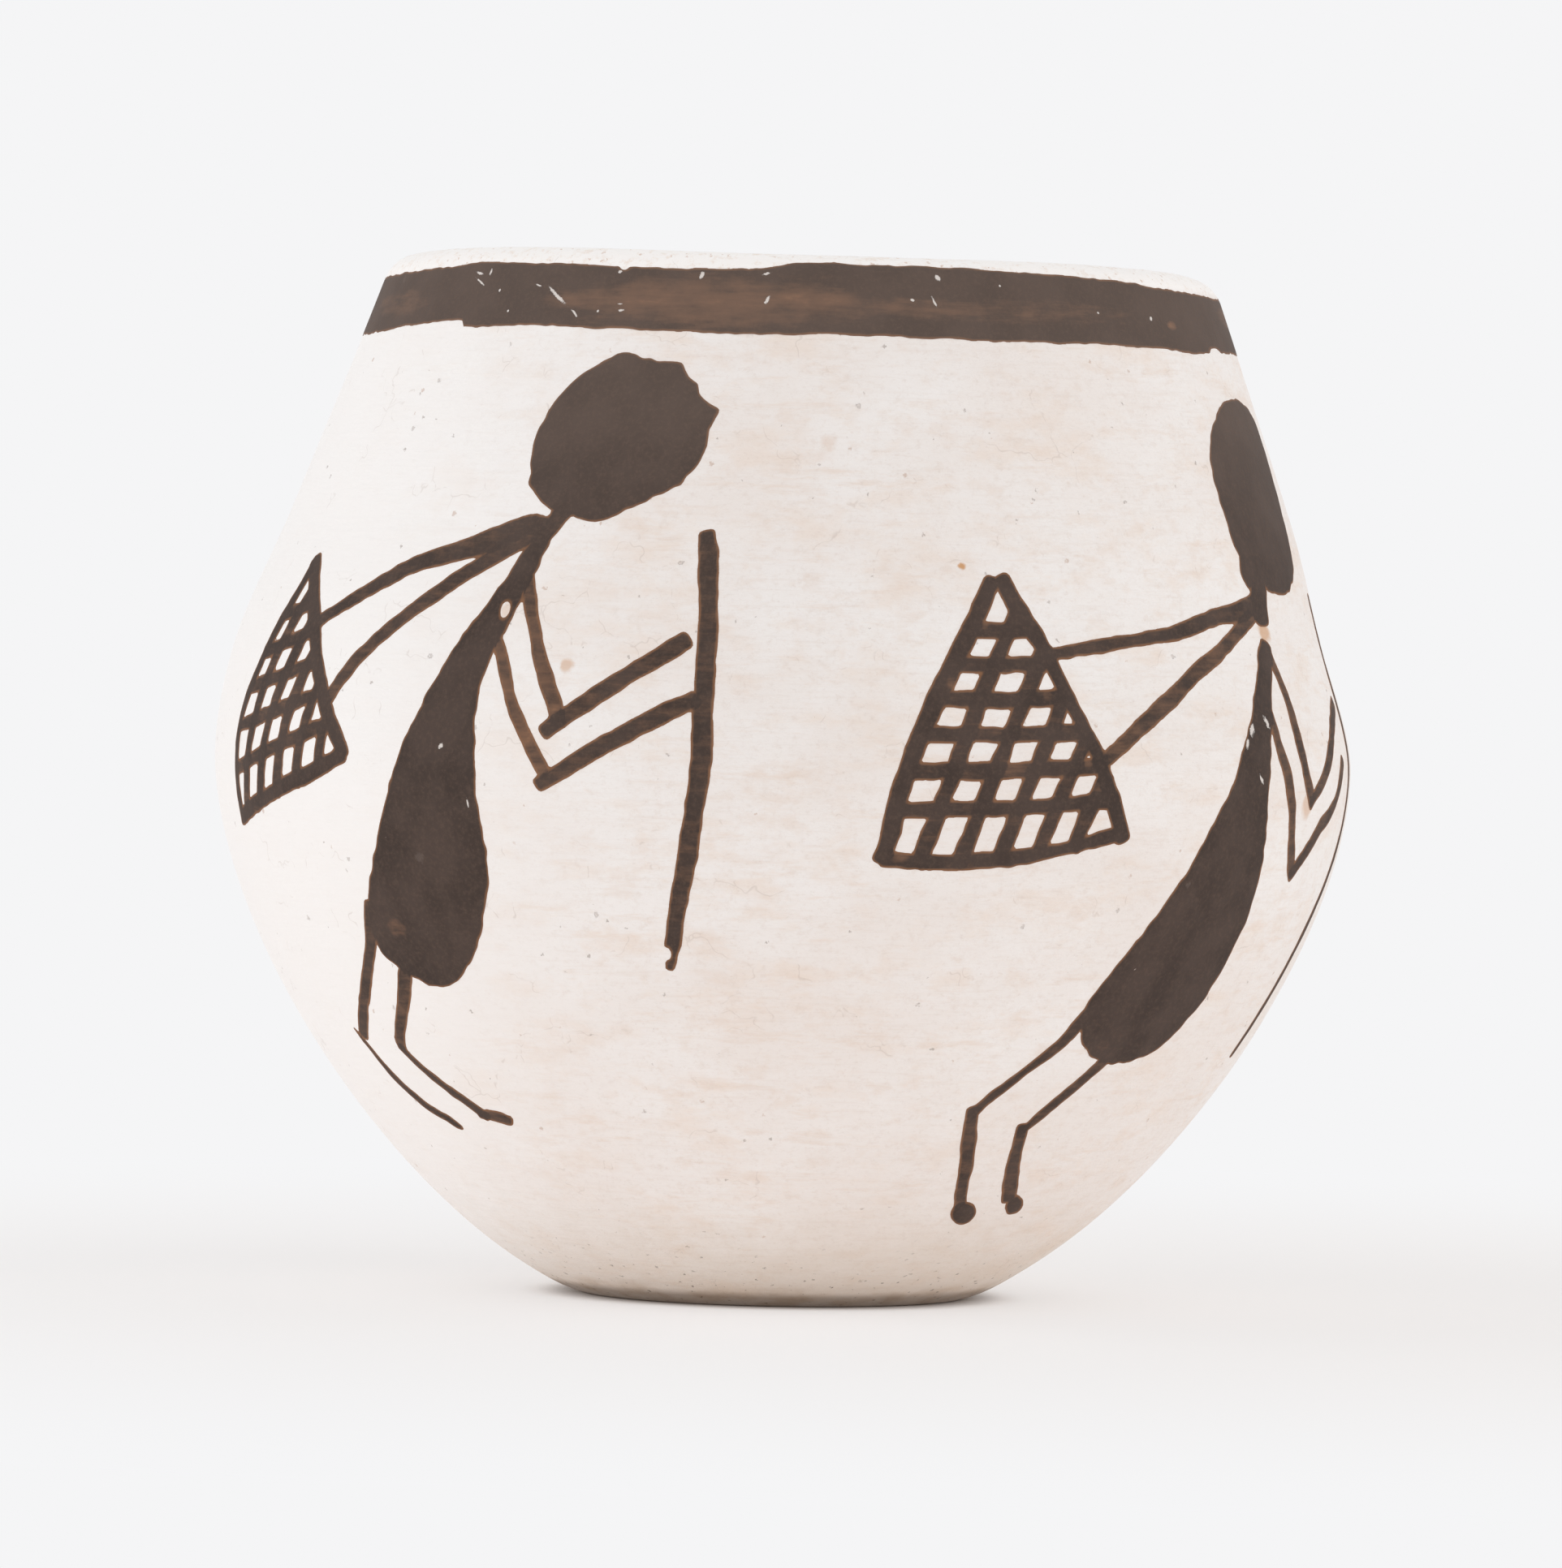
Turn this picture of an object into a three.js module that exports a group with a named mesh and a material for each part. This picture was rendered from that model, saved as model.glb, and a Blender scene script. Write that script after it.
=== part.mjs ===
import * as THREE from 'three';

// A small coil-built clay pot in millimetres, +Z up. It stands on its flat foot at z = 0, with its
// axis on Z and its front towards -Y. The fired clay carries a coat of white slip, and the slip
// carries a painted band below the lip. Each layer starts on the very face where the one under it ends.

// Driving sizes of the shape
const potHeight = 69;           // from the resting face to the crest of the lip
const bellyRadius = 37.9;       // widest circle
const bellyHeight = 35.8;       // height of the widest circle
const footRadius = 12.3;        // flat face that the pot rests on
const footTurnRadius = 15.3;    // where the rounded edge of the foot meets the wall
const footTurnHeight = 1;
const footFlare = 1.87;         // run outward for each millimetre of rise, where the wall leaves the foot
const mouthRadius = 25.7;       // circle through the crest of the lip
const neckLean = 0.36;          // run inward for each millimetre of rise, just under the lip
const lowerFullness = 6.3;      // how far the flare of the foot carries on up the wall
const lowerBellyFullness = 10.9; // how far the belly stays steep below its widest circle
const upperBellyFullness = 4.7; // how far the belly stays steep above its widest circle
const neckFullness = 17.2;      // how far the lean of the neck carries on down the wall
const wallThickness = 4.4;      // at the neck, with the slip
const floorThickness = 5;       // at the foot

// Driving sizes of the coats
const slipThickness = 0.3;
const slipAboveRest = 0.6;      // bare clay along the wall between the foot's edge and the slip
const slipInside = 5;           // how far the slip runs down inside the mouth
const paintThickness = 0.12;
const lipBare = 2.3;            // white strip between the crest of the lip and the band
const bandWidth = 4.8;

// How far the hand strayed from a true turned shape
const outOfRound = 0.2;         // the belly is a little wider one way than the other
const mouthDrift = 0.7;         // the mouth sits a little to the +X side of the foot
const shoulderDrift = 0.4;      // the shoulder sits a little to the -X side
const shoulderHeight = 44;
const rimTilt = 0.28;           // the lip is this much higher on the -X side, and lower on the +X side
const rimDip = 0.22;            // the lip is this much lower on both sides, and higher in front and behind
const rimWave = 0.23;           // rise and fall of the lip, three times round the mouth
const bandWaver = 0.5;          // stray of the band's edges

// Divisions
const turnSteps = 56;
const wallRows = 20;
const bandRows = 3;
const lipRows = 6;
const slipInsideRows = 2;
const insideRows = 11;

// Half the wall is the radius of the lip, which rounds from the outer face over to the inner one
const lipRadius = wallThickness / 2;
const lipStart = Math.atan(neckLean);
const lipCentreHeight = potHeight - lipRadius;
const neckEndRadius = mouthRadius + lipRadius * Math.cos(lipStart);
const neckEndHeight = lipCentreHeight + lipRadius * Math.sin(lipStart);

// The outer face from the edge of the foot to where the lip starts: the turned foot, the bowl and
// the shoulder, each tangent to the next
const outerFace = new THREE.Path();
outerFace.moveTo(footRadius, 0);
outerFace.quadraticCurveTo(
  footTurnRadius - footFlare * footTurnHeight, 0,
  footTurnRadius, footTurnHeight
);
outerFace.bezierCurveTo(
  footTurnRadius + footFlare * lowerFullness, footTurnHeight + lowerFullness,
  bellyRadius, bellyHeight - lowerBellyFullness,
  bellyRadius, bellyHeight
);
outerFace.bezierCurveTo(
  bellyRadius, bellyHeight + upperBellyFullness,
  neckEndRadius + neckLean * neckFullness, neckEndHeight - neckFullness,
  neckEndRadius, neckEndHeight
);
outerFace.arcLengthDivisions = 400;

const outerLength = outerFace.getLength();
const lipLength = Math.PI * lipRadius;
const faceLength = 2 * outerLength + lipLength;
const crestDistance = outerLength + lipRadius * (Math.PI / 2 - lipStart);
const slipEnd = outerLength + lipLength + slipInside;

// A point of the outer face and its outward normal, by distance from the edge of the foot
function outerPoint(distance) {
  const share = THREE.MathUtils.clamp(distance / outerLength, 0, 1);
  const point = outerFace.getPointAt(share);
  const tangent = outerFace.getTangentAt(share);
  return { point, normal: new THREE.Vector2(tangent.y, -tangent.x) };
}

// The wall is thickest at the foot and thins towards the belly
function wallAt(distance) {
  const thinning = THREE.MathUtils.smoothstep(distance, 0, outerLength / 2);
  return THREE.MathUtils.lerp(floorThickness, wallThickness, thinning);
}

// The whole finished face: up the outside, over the lip and down the inside to the floor
function facePoint(distance) {
  if (distance <= outerLength) return outerPoint(distance);
  const pastNeck = distance - outerLength;
  if (pastNeck <= lipLength) {
    const turn = lipStart + pastNeck / lipRadius;
    const normal = new THREE.Vector2(Math.cos(turn), Math.sin(turn));
    const point = new THREE.Vector2(mouthRadius, lipCentreHeight).addScaledVector(normal, lipRadius);
    return { point, normal };
  }
  const opposite = outerLength - (pastNeck - lipLength);
  const outer = outerPoint(opposite);
  const point = outer.point.addScaledVector(outer.normal, -wallAt(opposite));
  return { point, normal: outer.normal.negate() };
}

// One at the shoulder, fading to nothing at the belly and as far above
function atShoulder(height) {
  const rise = shoulderHeight - bellyHeight;
  const below = THREE.MathUtils.smoothstep(height, bellyHeight, shoulderHeight);
  const above = THREE.MathUtils.smoothstep(height, shoulderHeight, shoulderHeight + rise);
  return below * (1 - above);
}

// A hand-built pot isn't a true body of revolution. Every layer is placed by this one function, so
// faces that touch stay together, and the foot stays flat and centred.
function placed(radius, height, turn) {
  const towardsBelly = THREE.MathUtils.smoothstep(height, 0, bellyHeight);
  const towardsRim = THREE.MathUtils.smoothstep(height, bellyHeight, potHeight);
  const shapedRadius = radius + outOfRound * towardsBelly * Math.cos(2 * turn);
  const drift = mouthDrift * towardsRim - shoulderDrift * atShoulder(height);
  const x = shapedRadius * Math.cos(turn) + drift;
  const y = shapedRadius * Math.sin(turn);
  const tilt = rimTilt * (radius / mouthRadius) * Math.cos(turn);
  const stray = tilt + rimDip * Math.cos(2 * turn) + rimWave * Math.sin(3 * turn);
  return new THREE.Vector3(x, y, height - stray * towardsRim);
}

// The band follows the lip, and its edges stray as a brushed line does
function bandTop(turn) {
  return crestDistance - lipBare - bandWaver * Math.cos(2 * turn);
}

function bandBottom(turn) {
  return crestDistance - lipBare - bandWidth + 0.4 * bandWaver * Math.cos(3 * turn + 1);
}

// Evenly spaced distances along the face, with both ends
function spread(from, to, rows) {
  return Array.from({ length: rows + 1 }, (_, row) => from + (to - from) * row / rows);
}

// The three stretches of face that the coats share at one angle round the pot
function underBand(turn) {
  return spread(slipAboveRest, bandBottom(turn), wallRows);
}

function behindBand(turn) {
  return spread(bandBottom(turn), bandTop(turn), bandRows);
}

function overLip(turn) {
  const lipEnd = outerLength + lipLength;
  const lip = spread(bandTop(turn), lipEnd, lipRows);
  const inside = spread(lipEnd, slipEnd, slipInsideRows);
  return [...lip, ...inside.slice(1)];
}

function slipStretch(turn) {
  return [...underBand(turn), ...behindBand(turn).slice(1), ...overLip(turn).slice(1)];
}

// A section is a list of corners, each at a distance along the face and a depth under it
function cornersAt(distances, depth) {
  return distances.map((distance) => ({ distance, depth }));
}

function claySection(turn) {
  const bareInside = spread(slipEnd, faceLength, insideRows).slice(1);
  return [
    { distance: 0, depth: 0, onAxis: true },
    { distance: 0, depth: 0 },
    { distance: slipAboveRest, depth: 0 },
    ...cornersAt(slipStretch(turn), slipThickness),
    ...cornersAt(bareInside, slipThickness),
    { distance: faceLength, depth: slipThickness, onAxis: true }
  ];
}

function coatSection(distances, outside, inside) {
  return [...cornersAt(distances, outside), ...cornersAt(distances, inside).reverse()];
}

function slipSection(turn) {
  return coatSection(slipStretch(turn), 0, slipThickness);
}

function bandSection(turn) {
  return coatSection(behindBand(turn), -paintThickness, 0);
}

function cornerPlace(corner, turn) {
  const { point, normal } = facePoint(corner.distance);
  const onFace = point.addScaledVector(normal, -corner.depth);
  return placed(corner.onAxis ? 0 : onFace.x, onFace.y, turn);
}

// Carries a section round the pot. The diagonal of each facet runs by distance and depth and not by
// the order of the corners, so two layers split the face that they share in the same way.
function turned(sectionAt, closed) {
  const positions = [];
  const faces = [];
  const corners = sectionAt(0).length;
  for (let step = 0; step < turnSteps; step += 1) {
    const turn = 2 * Math.PI * step / turnSteps;
    sectionAt(turn).forEach((corner) => positions.push(...cornerPlace(corner, turn)));
  }
  const section = sectionAt(0);
  const edges = closed ? corners : corners - 1;
  for (let step = 0; step < turnSteps; step += 1) {
    const here = step * corners;
    const next = ((step + 1) % turnSteps) * corners;
    for (let from = 0; from < edges; from += 1) {
      const to = (from + 1) % corners;
      const low = section[from];
      const high = section[to];
      const rising = high.distance - low.distance || high.depth - low.depth;
      if (low.onAxis) {
        faces.push(from, next + to, here + to);
      } else if (high.onAxis) {
        faces.push(here + from, next + from, to);
      } else if (rising > 0) {
        faces.push(here + from, next + from, next + to);
        faces.push(here + from, next + to, here + to);
      } else {
        faces.push(here + from, next + from, here + to);
        faces.push(next + from, next + to, here + to);
      }
    }
  }
  const geometry = new THREE.BufferGeometry();
  geometry.setAttribute('position', new THREE.Float32BufferAttribute(positions, 3));
  geometry.setIndex(faces);
  geometry.computeVertexNormals();
  return geometry;
}

const clay = new THREE.MeshStandardMaterial({ color: 0xc4a484, roughness: 0.9, metalness: 0 });
const slip = new THREE.MeshStandardMaterial({ color: 0xede6e2, roughness: 0.55, metalness: 0 });
const paint = new THREE.MeshStandardMaterial({ color: 0x4b3e37, roughness: 0.6, metalness: 0 });

function piece(name, geometry, material) {
  const mesh = new THREE.Mesh(geometry, material);
  mesh.name = name;
  return mesh;
}

const clayPot = new THREE.Group();
clayPot.add(piece('clay_body', turned(claySection, false), clay));
clayPot.add(piece('white_slip', turned(slipSection, true), slip));
clayPot.add(piece('rim_band', turned(bandSection, true), paint));

export default clayPot;
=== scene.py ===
"""A small coil-built clay pot with a white slip and a file of walkers painted round it, for Blender 4.5.

Sizes are in millimetres and become metres where a mesh is made. The pot stands on z = 0 with its axis
on Z and its front towards -Y. Turns are counted from +X, so the front is a quarter turn back."""
import math

import bmesh
import bpy
import numpy as np
from mathutils import Matrix, Vector


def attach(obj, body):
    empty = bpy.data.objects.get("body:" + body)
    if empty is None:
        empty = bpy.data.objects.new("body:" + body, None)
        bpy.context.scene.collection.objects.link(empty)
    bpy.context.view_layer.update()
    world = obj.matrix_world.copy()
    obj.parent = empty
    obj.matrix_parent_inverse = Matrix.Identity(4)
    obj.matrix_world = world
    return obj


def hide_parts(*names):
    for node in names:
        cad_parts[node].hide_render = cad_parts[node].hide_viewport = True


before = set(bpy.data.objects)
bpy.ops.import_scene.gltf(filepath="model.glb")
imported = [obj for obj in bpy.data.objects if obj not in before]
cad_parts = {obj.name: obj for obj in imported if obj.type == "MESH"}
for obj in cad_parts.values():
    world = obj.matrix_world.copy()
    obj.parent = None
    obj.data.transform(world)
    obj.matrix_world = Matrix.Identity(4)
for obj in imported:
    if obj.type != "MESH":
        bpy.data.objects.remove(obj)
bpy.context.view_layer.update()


# The clay body
# One piece of fired clay: coils on a flat foot, scraped to an even wall, rounded over at the lip and
# left bare inside. A hand shaped it, so it isn't quite round and its mouth isn't quite over its foot.
METRE = 0.001                    # a millimetre, in metres

pot_height = 69
belly_radius = 37.9
belly_height = 35.8
foot_radius = 12.3
foot_turn = np.array([15.3, 1])  # where the rounded edge of the foot meets the wall
foot_flare = 1.87                # run outward for each millimetre of rise, where the wall leaves the foot
mouth_radius = 25.7
neck_lean = 0.36                 # run inward for each millimetre of rise, just under the lip
lower_fullness = 6.3             # how far the flare of the foot carries on up the wall
lower_belly_fullness = 10.9      # how far the belly stays steep below its widest circle
upper_belly_fullness = 4.7       # and above it
neck_fullness = 17.2             # how far the lean of the neck carries on down the wall
wall_thickness = 4.4
floor_thickness = 5

slip_thickness = 0.3
slip_above_rest = 0.6            # bare clay along the wall between the foot's edge and the slip
slip_inside = 5                  # how far the slip runs down inside the mouth

fine_row = 0.7                   # rows where a face shows
lip_row = 0.45                   # rows where it bends most
flat_row = 1.2                   # rows across the foot and the floor inside
hidden_row = 3                   # rows where a coat covers it
turn_steps = 256
foot_points = 16                 # of the curve round the foot's edge
wall_points = 160                # of each curve of the wall

lip_radius = wall_thickness / 2
lip_start = math.atan(neck_lean)
lip_centre = np.array([mouth_radius, pot_height - lip_radius])
neck_end = lip_centre + lip_radius * np.array([math.cos(lip_start), math.sin(lip_start)])


def bezier(handles, count):
    """Points of the Bezier curve with these handles, without its last one."""
    share = np.linspace(0, 1, count, endpoint=False)[:, None]
    rows = [np.array(handle, float) for handle in handles]
    while len(rows) > 1:
        rows = [low * (1 - share) + high * share for low, high in zip(rows, rows[1:])]
    return rows[0]


outer_face = np.vstack([
    bezier([(foot_radius, 0), foot_turn - [foot_flare * foot_turn[1], foot_turn[1]], foot_turn], foot_points),
    bezier([
        foot_turn,
        foot_turn + [foot_flare * lower_fullness, lower_fullness],
        (belly_radius, belly_height - lower_belly_fullness),
        (belly_radius, belly_height),
    ], wall_points),
    bezier([
        (belly_radius, belly_height),
        (belly_radius, belly_height + upper_belly_fullness),
        neck_end + [neck_lean * neck_fullness, -neck_fullness],
        neck_end,
    ], wall_points),
    neck_end[None],
])
outer_run = np.insert(np.cumsum(np.hypot(*np.diff(outer_face, axis=0).T)), 0, 0)
outer_length = outer_run[-1]
lip_end = outer_length + math.pi * lip_radius
face_length = lip_end + outer_length
slip_end = lip_end + slip_inside


def soft_step(value, low, high):
    """Goes smoothly from 0 to 1 as the value goes from low to high."""
    share = np.clip((value - low) / (high - low), 0, 1)
    return share * share * (3 - 2 * share)


def outer_at(run):
    """Points of the outer face and its outward normals, by distance along it from the foot."""
    def point(at):
        return np.column_stack([np.interp(at, outer_run, outer_face[:, axis]) for axis in (0, 1)])
    nudge = 0.2
    tangent = point(run + nudge) - point(run - nudge)
    tangent /= np.linalg.norm(tangent, axis=1, keepdims=True)
    return point(run), np.column_stack([tangent[:, 1], -tangent[:, 0]])


def wall_at(run):
    """The wall is thickest at the foot and thins towards the belly."""
    return floor_thickness + (wall_thickness - floor_thickness) * soft_step(run, 0, outer_length / 2)


def face_at(run, depth):
    """Points this deep under the finished face, which goes up the outside, over the lip and down inside."""
    run = np.asarray(run, float)
    inside = run > lip_end
    opposite = np.where(inside, face_length - run, run)
    point, normal = outer_at(np.clip(opposite, 0, outer_length))
    point = np.where(inside[:, None], point - normal * wall_at(opposite)[:, None], point)
    normal = np.where(inside[:, None], -normal, normal)
    lip_turn = lip_start + (run - outer_length) / lip_radius
    lip_normal = np.column_stack([np.cos(lip_turn), np.sin(lip_turn)])
    on_lip = ((run > outer_length) & ~inside)[:, None]
    normal = np.where(on_lip, lip_normal, normal)
    point = np.where(on_lip, lip_centre + lip_radius * lip_normal, point)
    return point - normal * depth


def level_at(radii, height):
    """Points of a flat stretch, at this height."""
    return np.column_stack([radii, np.full(len(radii), height)])


def spread(start, end, pitch):
    """Even distances from one end to the other, about this far apart."""
    return np.linspace(start, end, max(2, round(abs(end - start) / pitch) + 1))


class Wires:
    """Puts nodes into a tree and joins their sockets."""

    def __init__(self, tree):
        self.tree = tree

    def join(self, source, socket):
        self.tree.links.new(source, socket)

    def node(self, kind, *inputs, named=None, **settings):
        """A new node, set up as named, with its inputs fed in order from sockets or plain values."""
        node = self.tree.nodes.new(kind)
        for name, value in settings.items():
            setattr(node, name, value)
        fed = list(zip(node.inputs, inputs))
        fed += [(node.inputs[name], value) for name, value in (named or {}).items()]
        for socket, value in fed:
            if isinstance(value, bpy.types.NodeSocket):
                self.join(value, socket)
            elif value is not None:
                socket.default_value = value
        return node

    def math(self, operation, *inputs):
        return self.node("ShaderNodeMath", *inputs, operation=operation).outputs[0]

    def times(self, first, *others):
        for other in others:
            first = self.math("MULTIPLY", first, other)
        return first

    def plus(self, first, *others):
        for other in others:
            first = self.math("ADD", first, other)
        return first

    def smooth(self, value, low, high, start=0, end=1):
        """Goes smoothly from start to end as the value goes from low to high."""
        inputs = (value, low, high, start, end)
        return self.node("ShaderNodeMapRange", *inputs, interpolation_type="SMOOTHSTEP").outputs[0]

    def vector(self, x, y, z):
        return self.node("ShaderNodeCombineXYZ", x, y, z).outputs[0]

    def parts(self, vector):
        """The three parts of a vector: to the right, back and up."""
        return self.node("ShaderNodeSeparateXYZ", vector).outputs

    def moved(self, vector, by):
        return self.node("ShaderNodeVectorMath", vector, by, operation="ADD").outputs[0]

    def scaled(self, vector, scale):
        named = {"Scale": scale}
        return self.node("ShaderNodeVectorMath", vector, operation="SCALE", named=named).outputs[0]

    def apart(self, vector, centre=(0, 0, 0)):
        """How far one place is from another."""
        return self.node("ShaderNodeVectorMath", vector, centre, operation="DISTANCE").outputs["Value"]

    def noise(self, vector, scale, detail, roughness=0.5):
        """The value and the colour of a cloudy noise."""
        named = {"Vector": vector, "Scale": scale, "Detail": detail, "Roughness": roughness}
        return self.node("ShaderNodeTexNoise", named=named).outputs

    def place(self):
        """The place on a piece that a material colours."""
        return self.node("ShaderNodeTexCoord").outputs["Object"]

    def mixed(self, share, low, high):
        """The colour between two others."""
        skipped = [None] * 5
        return self.node("ShaderNodeMix", share, *skipped, low, high, data_type="RGBA").outputs[2]

    def layered(self, colour, *layers):
        """Lays colours one over another, each as strong as its mask."""
        for mask, over in layers:
            colour = self.mixed(mask, colour, over)
        return colour


def new_tree(name, kind, inputs, outputs):
    """The wires of a new node tree, with its named inputs and outputs as they are met inside it."""
    tree = bpy.data.node_groups.new(name, kind)
    for in_out, sockets in (("INPUT", inputs), ("OUTPUT", outputs)):
        for label, value in sockets.items():
            kinds = {str: value, int: "NodeSocketInt", float: "NodeSocketFloat", tuple: "NodeSocketVector"}
            socket = tree.interface.new_socket(label, in_out=in_out, socket_type=kinds[type(value)])
            if not isinstance(value, str):
                socket.default_value = value
    wires = Wires(tree)
    return wires, wires.node("NodeGroupInput").outputs, wires.node("NodeGroupOutput").inputs


# Every size that the hand strayed by, so that both trees below read the same ones
strays = {
    "Belly Height": belly_height * METRE,
    "Pot Height": pot_height * METRE,
    "Shoulder Height": 44 * METRE,
    "Mouth Drift": 0.7 * METRE,
    "Shoulder Drift": 0.4 * METRE,
}
out_of_round = 0.2
rim_tilt = 0.28                  # the lip is higher on the left, and lower on the right
rim_dip = 0.22                   # it is lower on both sides, and higher in front and behind
rim_wave = 0.23                  # and it rises and falls three times round the mouth

wires, given, made = new_tree(
    "sideways_drift", "GeometryNodeTree", {"Height": 0.0, **strays}, {"Drift": 0.0, "Towards Rim": 0.0})
drift_tree = wires.tree
rise = wires.math("SUBTRACT", given["Shoulder Height"], given["Belly Height"])
above_shoulder = wires.plus(given["Shoulder Height"], rise)
towards_rim = wires.smooth(given["Height"], given["Belly Height"], given["Pot Height"])
up_to_shoulder = wires.smooth(given["Height"], given["Belly Height"], given["Shoulder Height"])
past_shoulder = wires.smooth(given["Height"], given["Shoulder Height"], above_shoulder, 1, 0)
at_shoulder = wires.times(up_to_shoulder, past_shoulder, given["Shoulder Drift"])
drift = wires.math("SUBTRACT", wires.times(towards_rim, given["Mouth Drift"]), at_shoulder)
wires.join(drift, made["Drift"])
wires.join(towards_rim, made["Towards Rim"])


def drift_node(wires, given, height):
    """The sideways drift of the pot at a height, inside another tree."""
    named = {"Height": height, **{name: given[name] for name in strays}}
    node = wires.node("GeometryNodeGroup", node_tree=drift_tree)
    for name, value in named.items():
        wires.join(value, node.inputs[name])
    return node.outputs


# Carries a section, drawn as a line of points at (radius, 0, height), round the pot's axis
wires, given, made = new_tree("turned_pot", "GeometryNodeTree", {
    "Section": "NodeSocketGeometry",
    "Finish": "NodeSocketMaterial",
    "Turn Steps": turn_steps,
    **strays,
    "Mouth Radius": mouth_radius * METRE,
    "Foot Radius": foot_radius * METRE,
    "Out Of Round": out_of_round * METRE,
    "Rim Tilt": rim_tilt * METRE,
    "Rim Dip": rim_dip * METRE,
    "Rim Wave": rim_wave * METRE,
    "Hand Marks": 0.0,
    "Mark Size": 12 * METRE,
}, {"Pot": "NodeSocketGeometry"})
pot_tree = wires.tree
rows = wires.node("GeometryNodeAttributeDomainSize", given["Section"]).outputs["Point Count"]
columns = wires.plus(given["Turn Steps"], 1)
grid = wires.node("GeometryNodeMeshGrid", 1.0, 1.0, columns, rows).outputs["Mesh"]
half_index = wires.plus(wires.node("GeometryNodeInputIndex").outputs[0], 0.5)
row = wires.math("FLOOR", wires.math("MODULO", half_index, rows))
step = wires.math("FLOOR", wires.math("DIVIDE", half_index, rows))
place = wires.node("GeometryNodeInputPosition").outputs[0]
corner = wires.node(
    "GeometryNodeSampleIndex", given["Section"], place, row, data_type="FLOAT_VECTOR", domain="POINT")
radius, _, height = wires.parts(corner.outputs[0])
turn = wires.times(wires.math("DIVIDE", step, given["Turn Steps"]), 2 * math.pi)
drift = drift_node(wires, given, height)
towards_belly = wires.smooth(height, 0, given["Belly Height"])
off_axis = wires.smooth(radius, 0, given["Foot Radius"])
twice_round = wires.math("COSINE", wires.times(turn, 2))
swell = wires.times(given["Out Of Round"], towards_belly, off_axis, twice_round)
shaped_radius = wires.plus(radius, swell)
x = wires.plus(wires.times(shaped_radius, wires.math("COSINE", turn)), drift["Drift"])
y = wires.times(shaped_radius, wires.math("SINE", turn))
across_mouth = wires.math("DIVIDE", radius, given["Mouth Radius"])
tilt = wires.times(given["Rim Tilt"], across_mouth, wires.math("COSINE", turn))
dip = wires.times(given["Rim Dip"], twice_round)
wave = wires.times(given["Rim Wave"], wires.math("SINE", wires.times(turn, 3)))
stray = wires.times(wires.plus(tilt, dip, wave), drift["Towards Rim"])
turned = wires.vector(x, y, wires.math("SUBTRACT", height, stray))
shaped = wires.node("GeometryNodeSetPosition", grid, None, turned).outputs[0]
closed = wires.node("GeometryNodeMergeByDistance", shaped, named={"Distance": 0.004 * METRE}).outputs[0]
marks = wires.noise(place, wires.math("DIVIDE", 1, given["Mark Size"]), 1)[0]
above_foot = wires.smooth(wires.parts(place)[2], 0, 2 * METRE)
sunk = wires.times(marks, above_foot, given["Hand Marks"], -1)
dent = wires.scaled(wires.node("GeometryNodeInputNormal").outputs[0], sunk)
marked = wires.node("GeometryNodeSetPosition", closed, None, None, dent).outputs[0]
real = wires.node("GeometryNodeRealizeInstances", marked).outputs[0]
finished = wires.node("GeometryNodeSetMaterial", real, None, given["Finish"]).outputs[0]
wires.join(finished, made["Pot"])


def mesh_object(name, places, edges, faces):
    """A new mesh from places in metres, as an object at the origin."""
    mesh = bpy.data.meshes.new(name)
    mesh.from_pydata(places, edges, faces)
    obj = bpy.data.objects.new(name, mesh)
    bpy.context.scene.collection.objects.link(obj)
    return obj


def line_object(name, points):
    """A line of points at (radius, height) in millimetres, as a mesh of edges."""
    places = [(radius * METRE, 0, height * METRE) for radius, height in points]
    return mesh_object(name, places, [(at, at + 1) for at in range(len(places) - 1)], [])


def grown(obj, tree, inputs):
    """Runs a node tree on an object and leaves its result as the object's plain mesh."""
    modifier = obj.modifiers.new(tree.name, "NODES")
    modifier.node_group = tree
    sockets = {item.name: item.identifier for item in tree.interface.items_tree if item.in_out == "INPUT"}
    for name, value in inputs.items():
        modifier[sockets[name]] = value
    ready = obj.evaluated_get(bpy.context.evaluated_depsgraph_get())
    mesh = bpy.data.meshes.new_from_object(ready)
    obj.modifiers.remove(modifier)
    obj.data = mesh
    mesh.name = obj.name
    return obj


def smoothed(obj, crease):
    """Turns every face outwards and shades the mesh smooth, apart from creases sharper than this."""
    shell = bmesh.new()
    shell.from_mesh(obj.data)
    bmesh.ops.recalc_face_normals(shell, faces=shell.faces)
    shell.to_mesh(obj.data)
    shell.free()
    obj.data.shade_smooth()
    obj.data.set_sharp_from_angle(angle=math.radians(crease))
    return obj


def on_root(obj, slot, *nodes):
    """A piece of the pot's one body, with the nodes that it stands for hidden; its finish, slot, is not used.
    """
    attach(obj, "root")
    if nodes:
        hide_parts(*nodes)


def shade(red, green, blue):
    """A colour as it is seen, from 0 to 255, in the linear values that a shader takes."""
    return tuple(
        part / 12.92 if part <= 0.04045 else ((part + 0.055) / 1.055) ** 2.4
        for part in (red / 255, green / 255, blue / 255)) + (1.0,)


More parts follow.
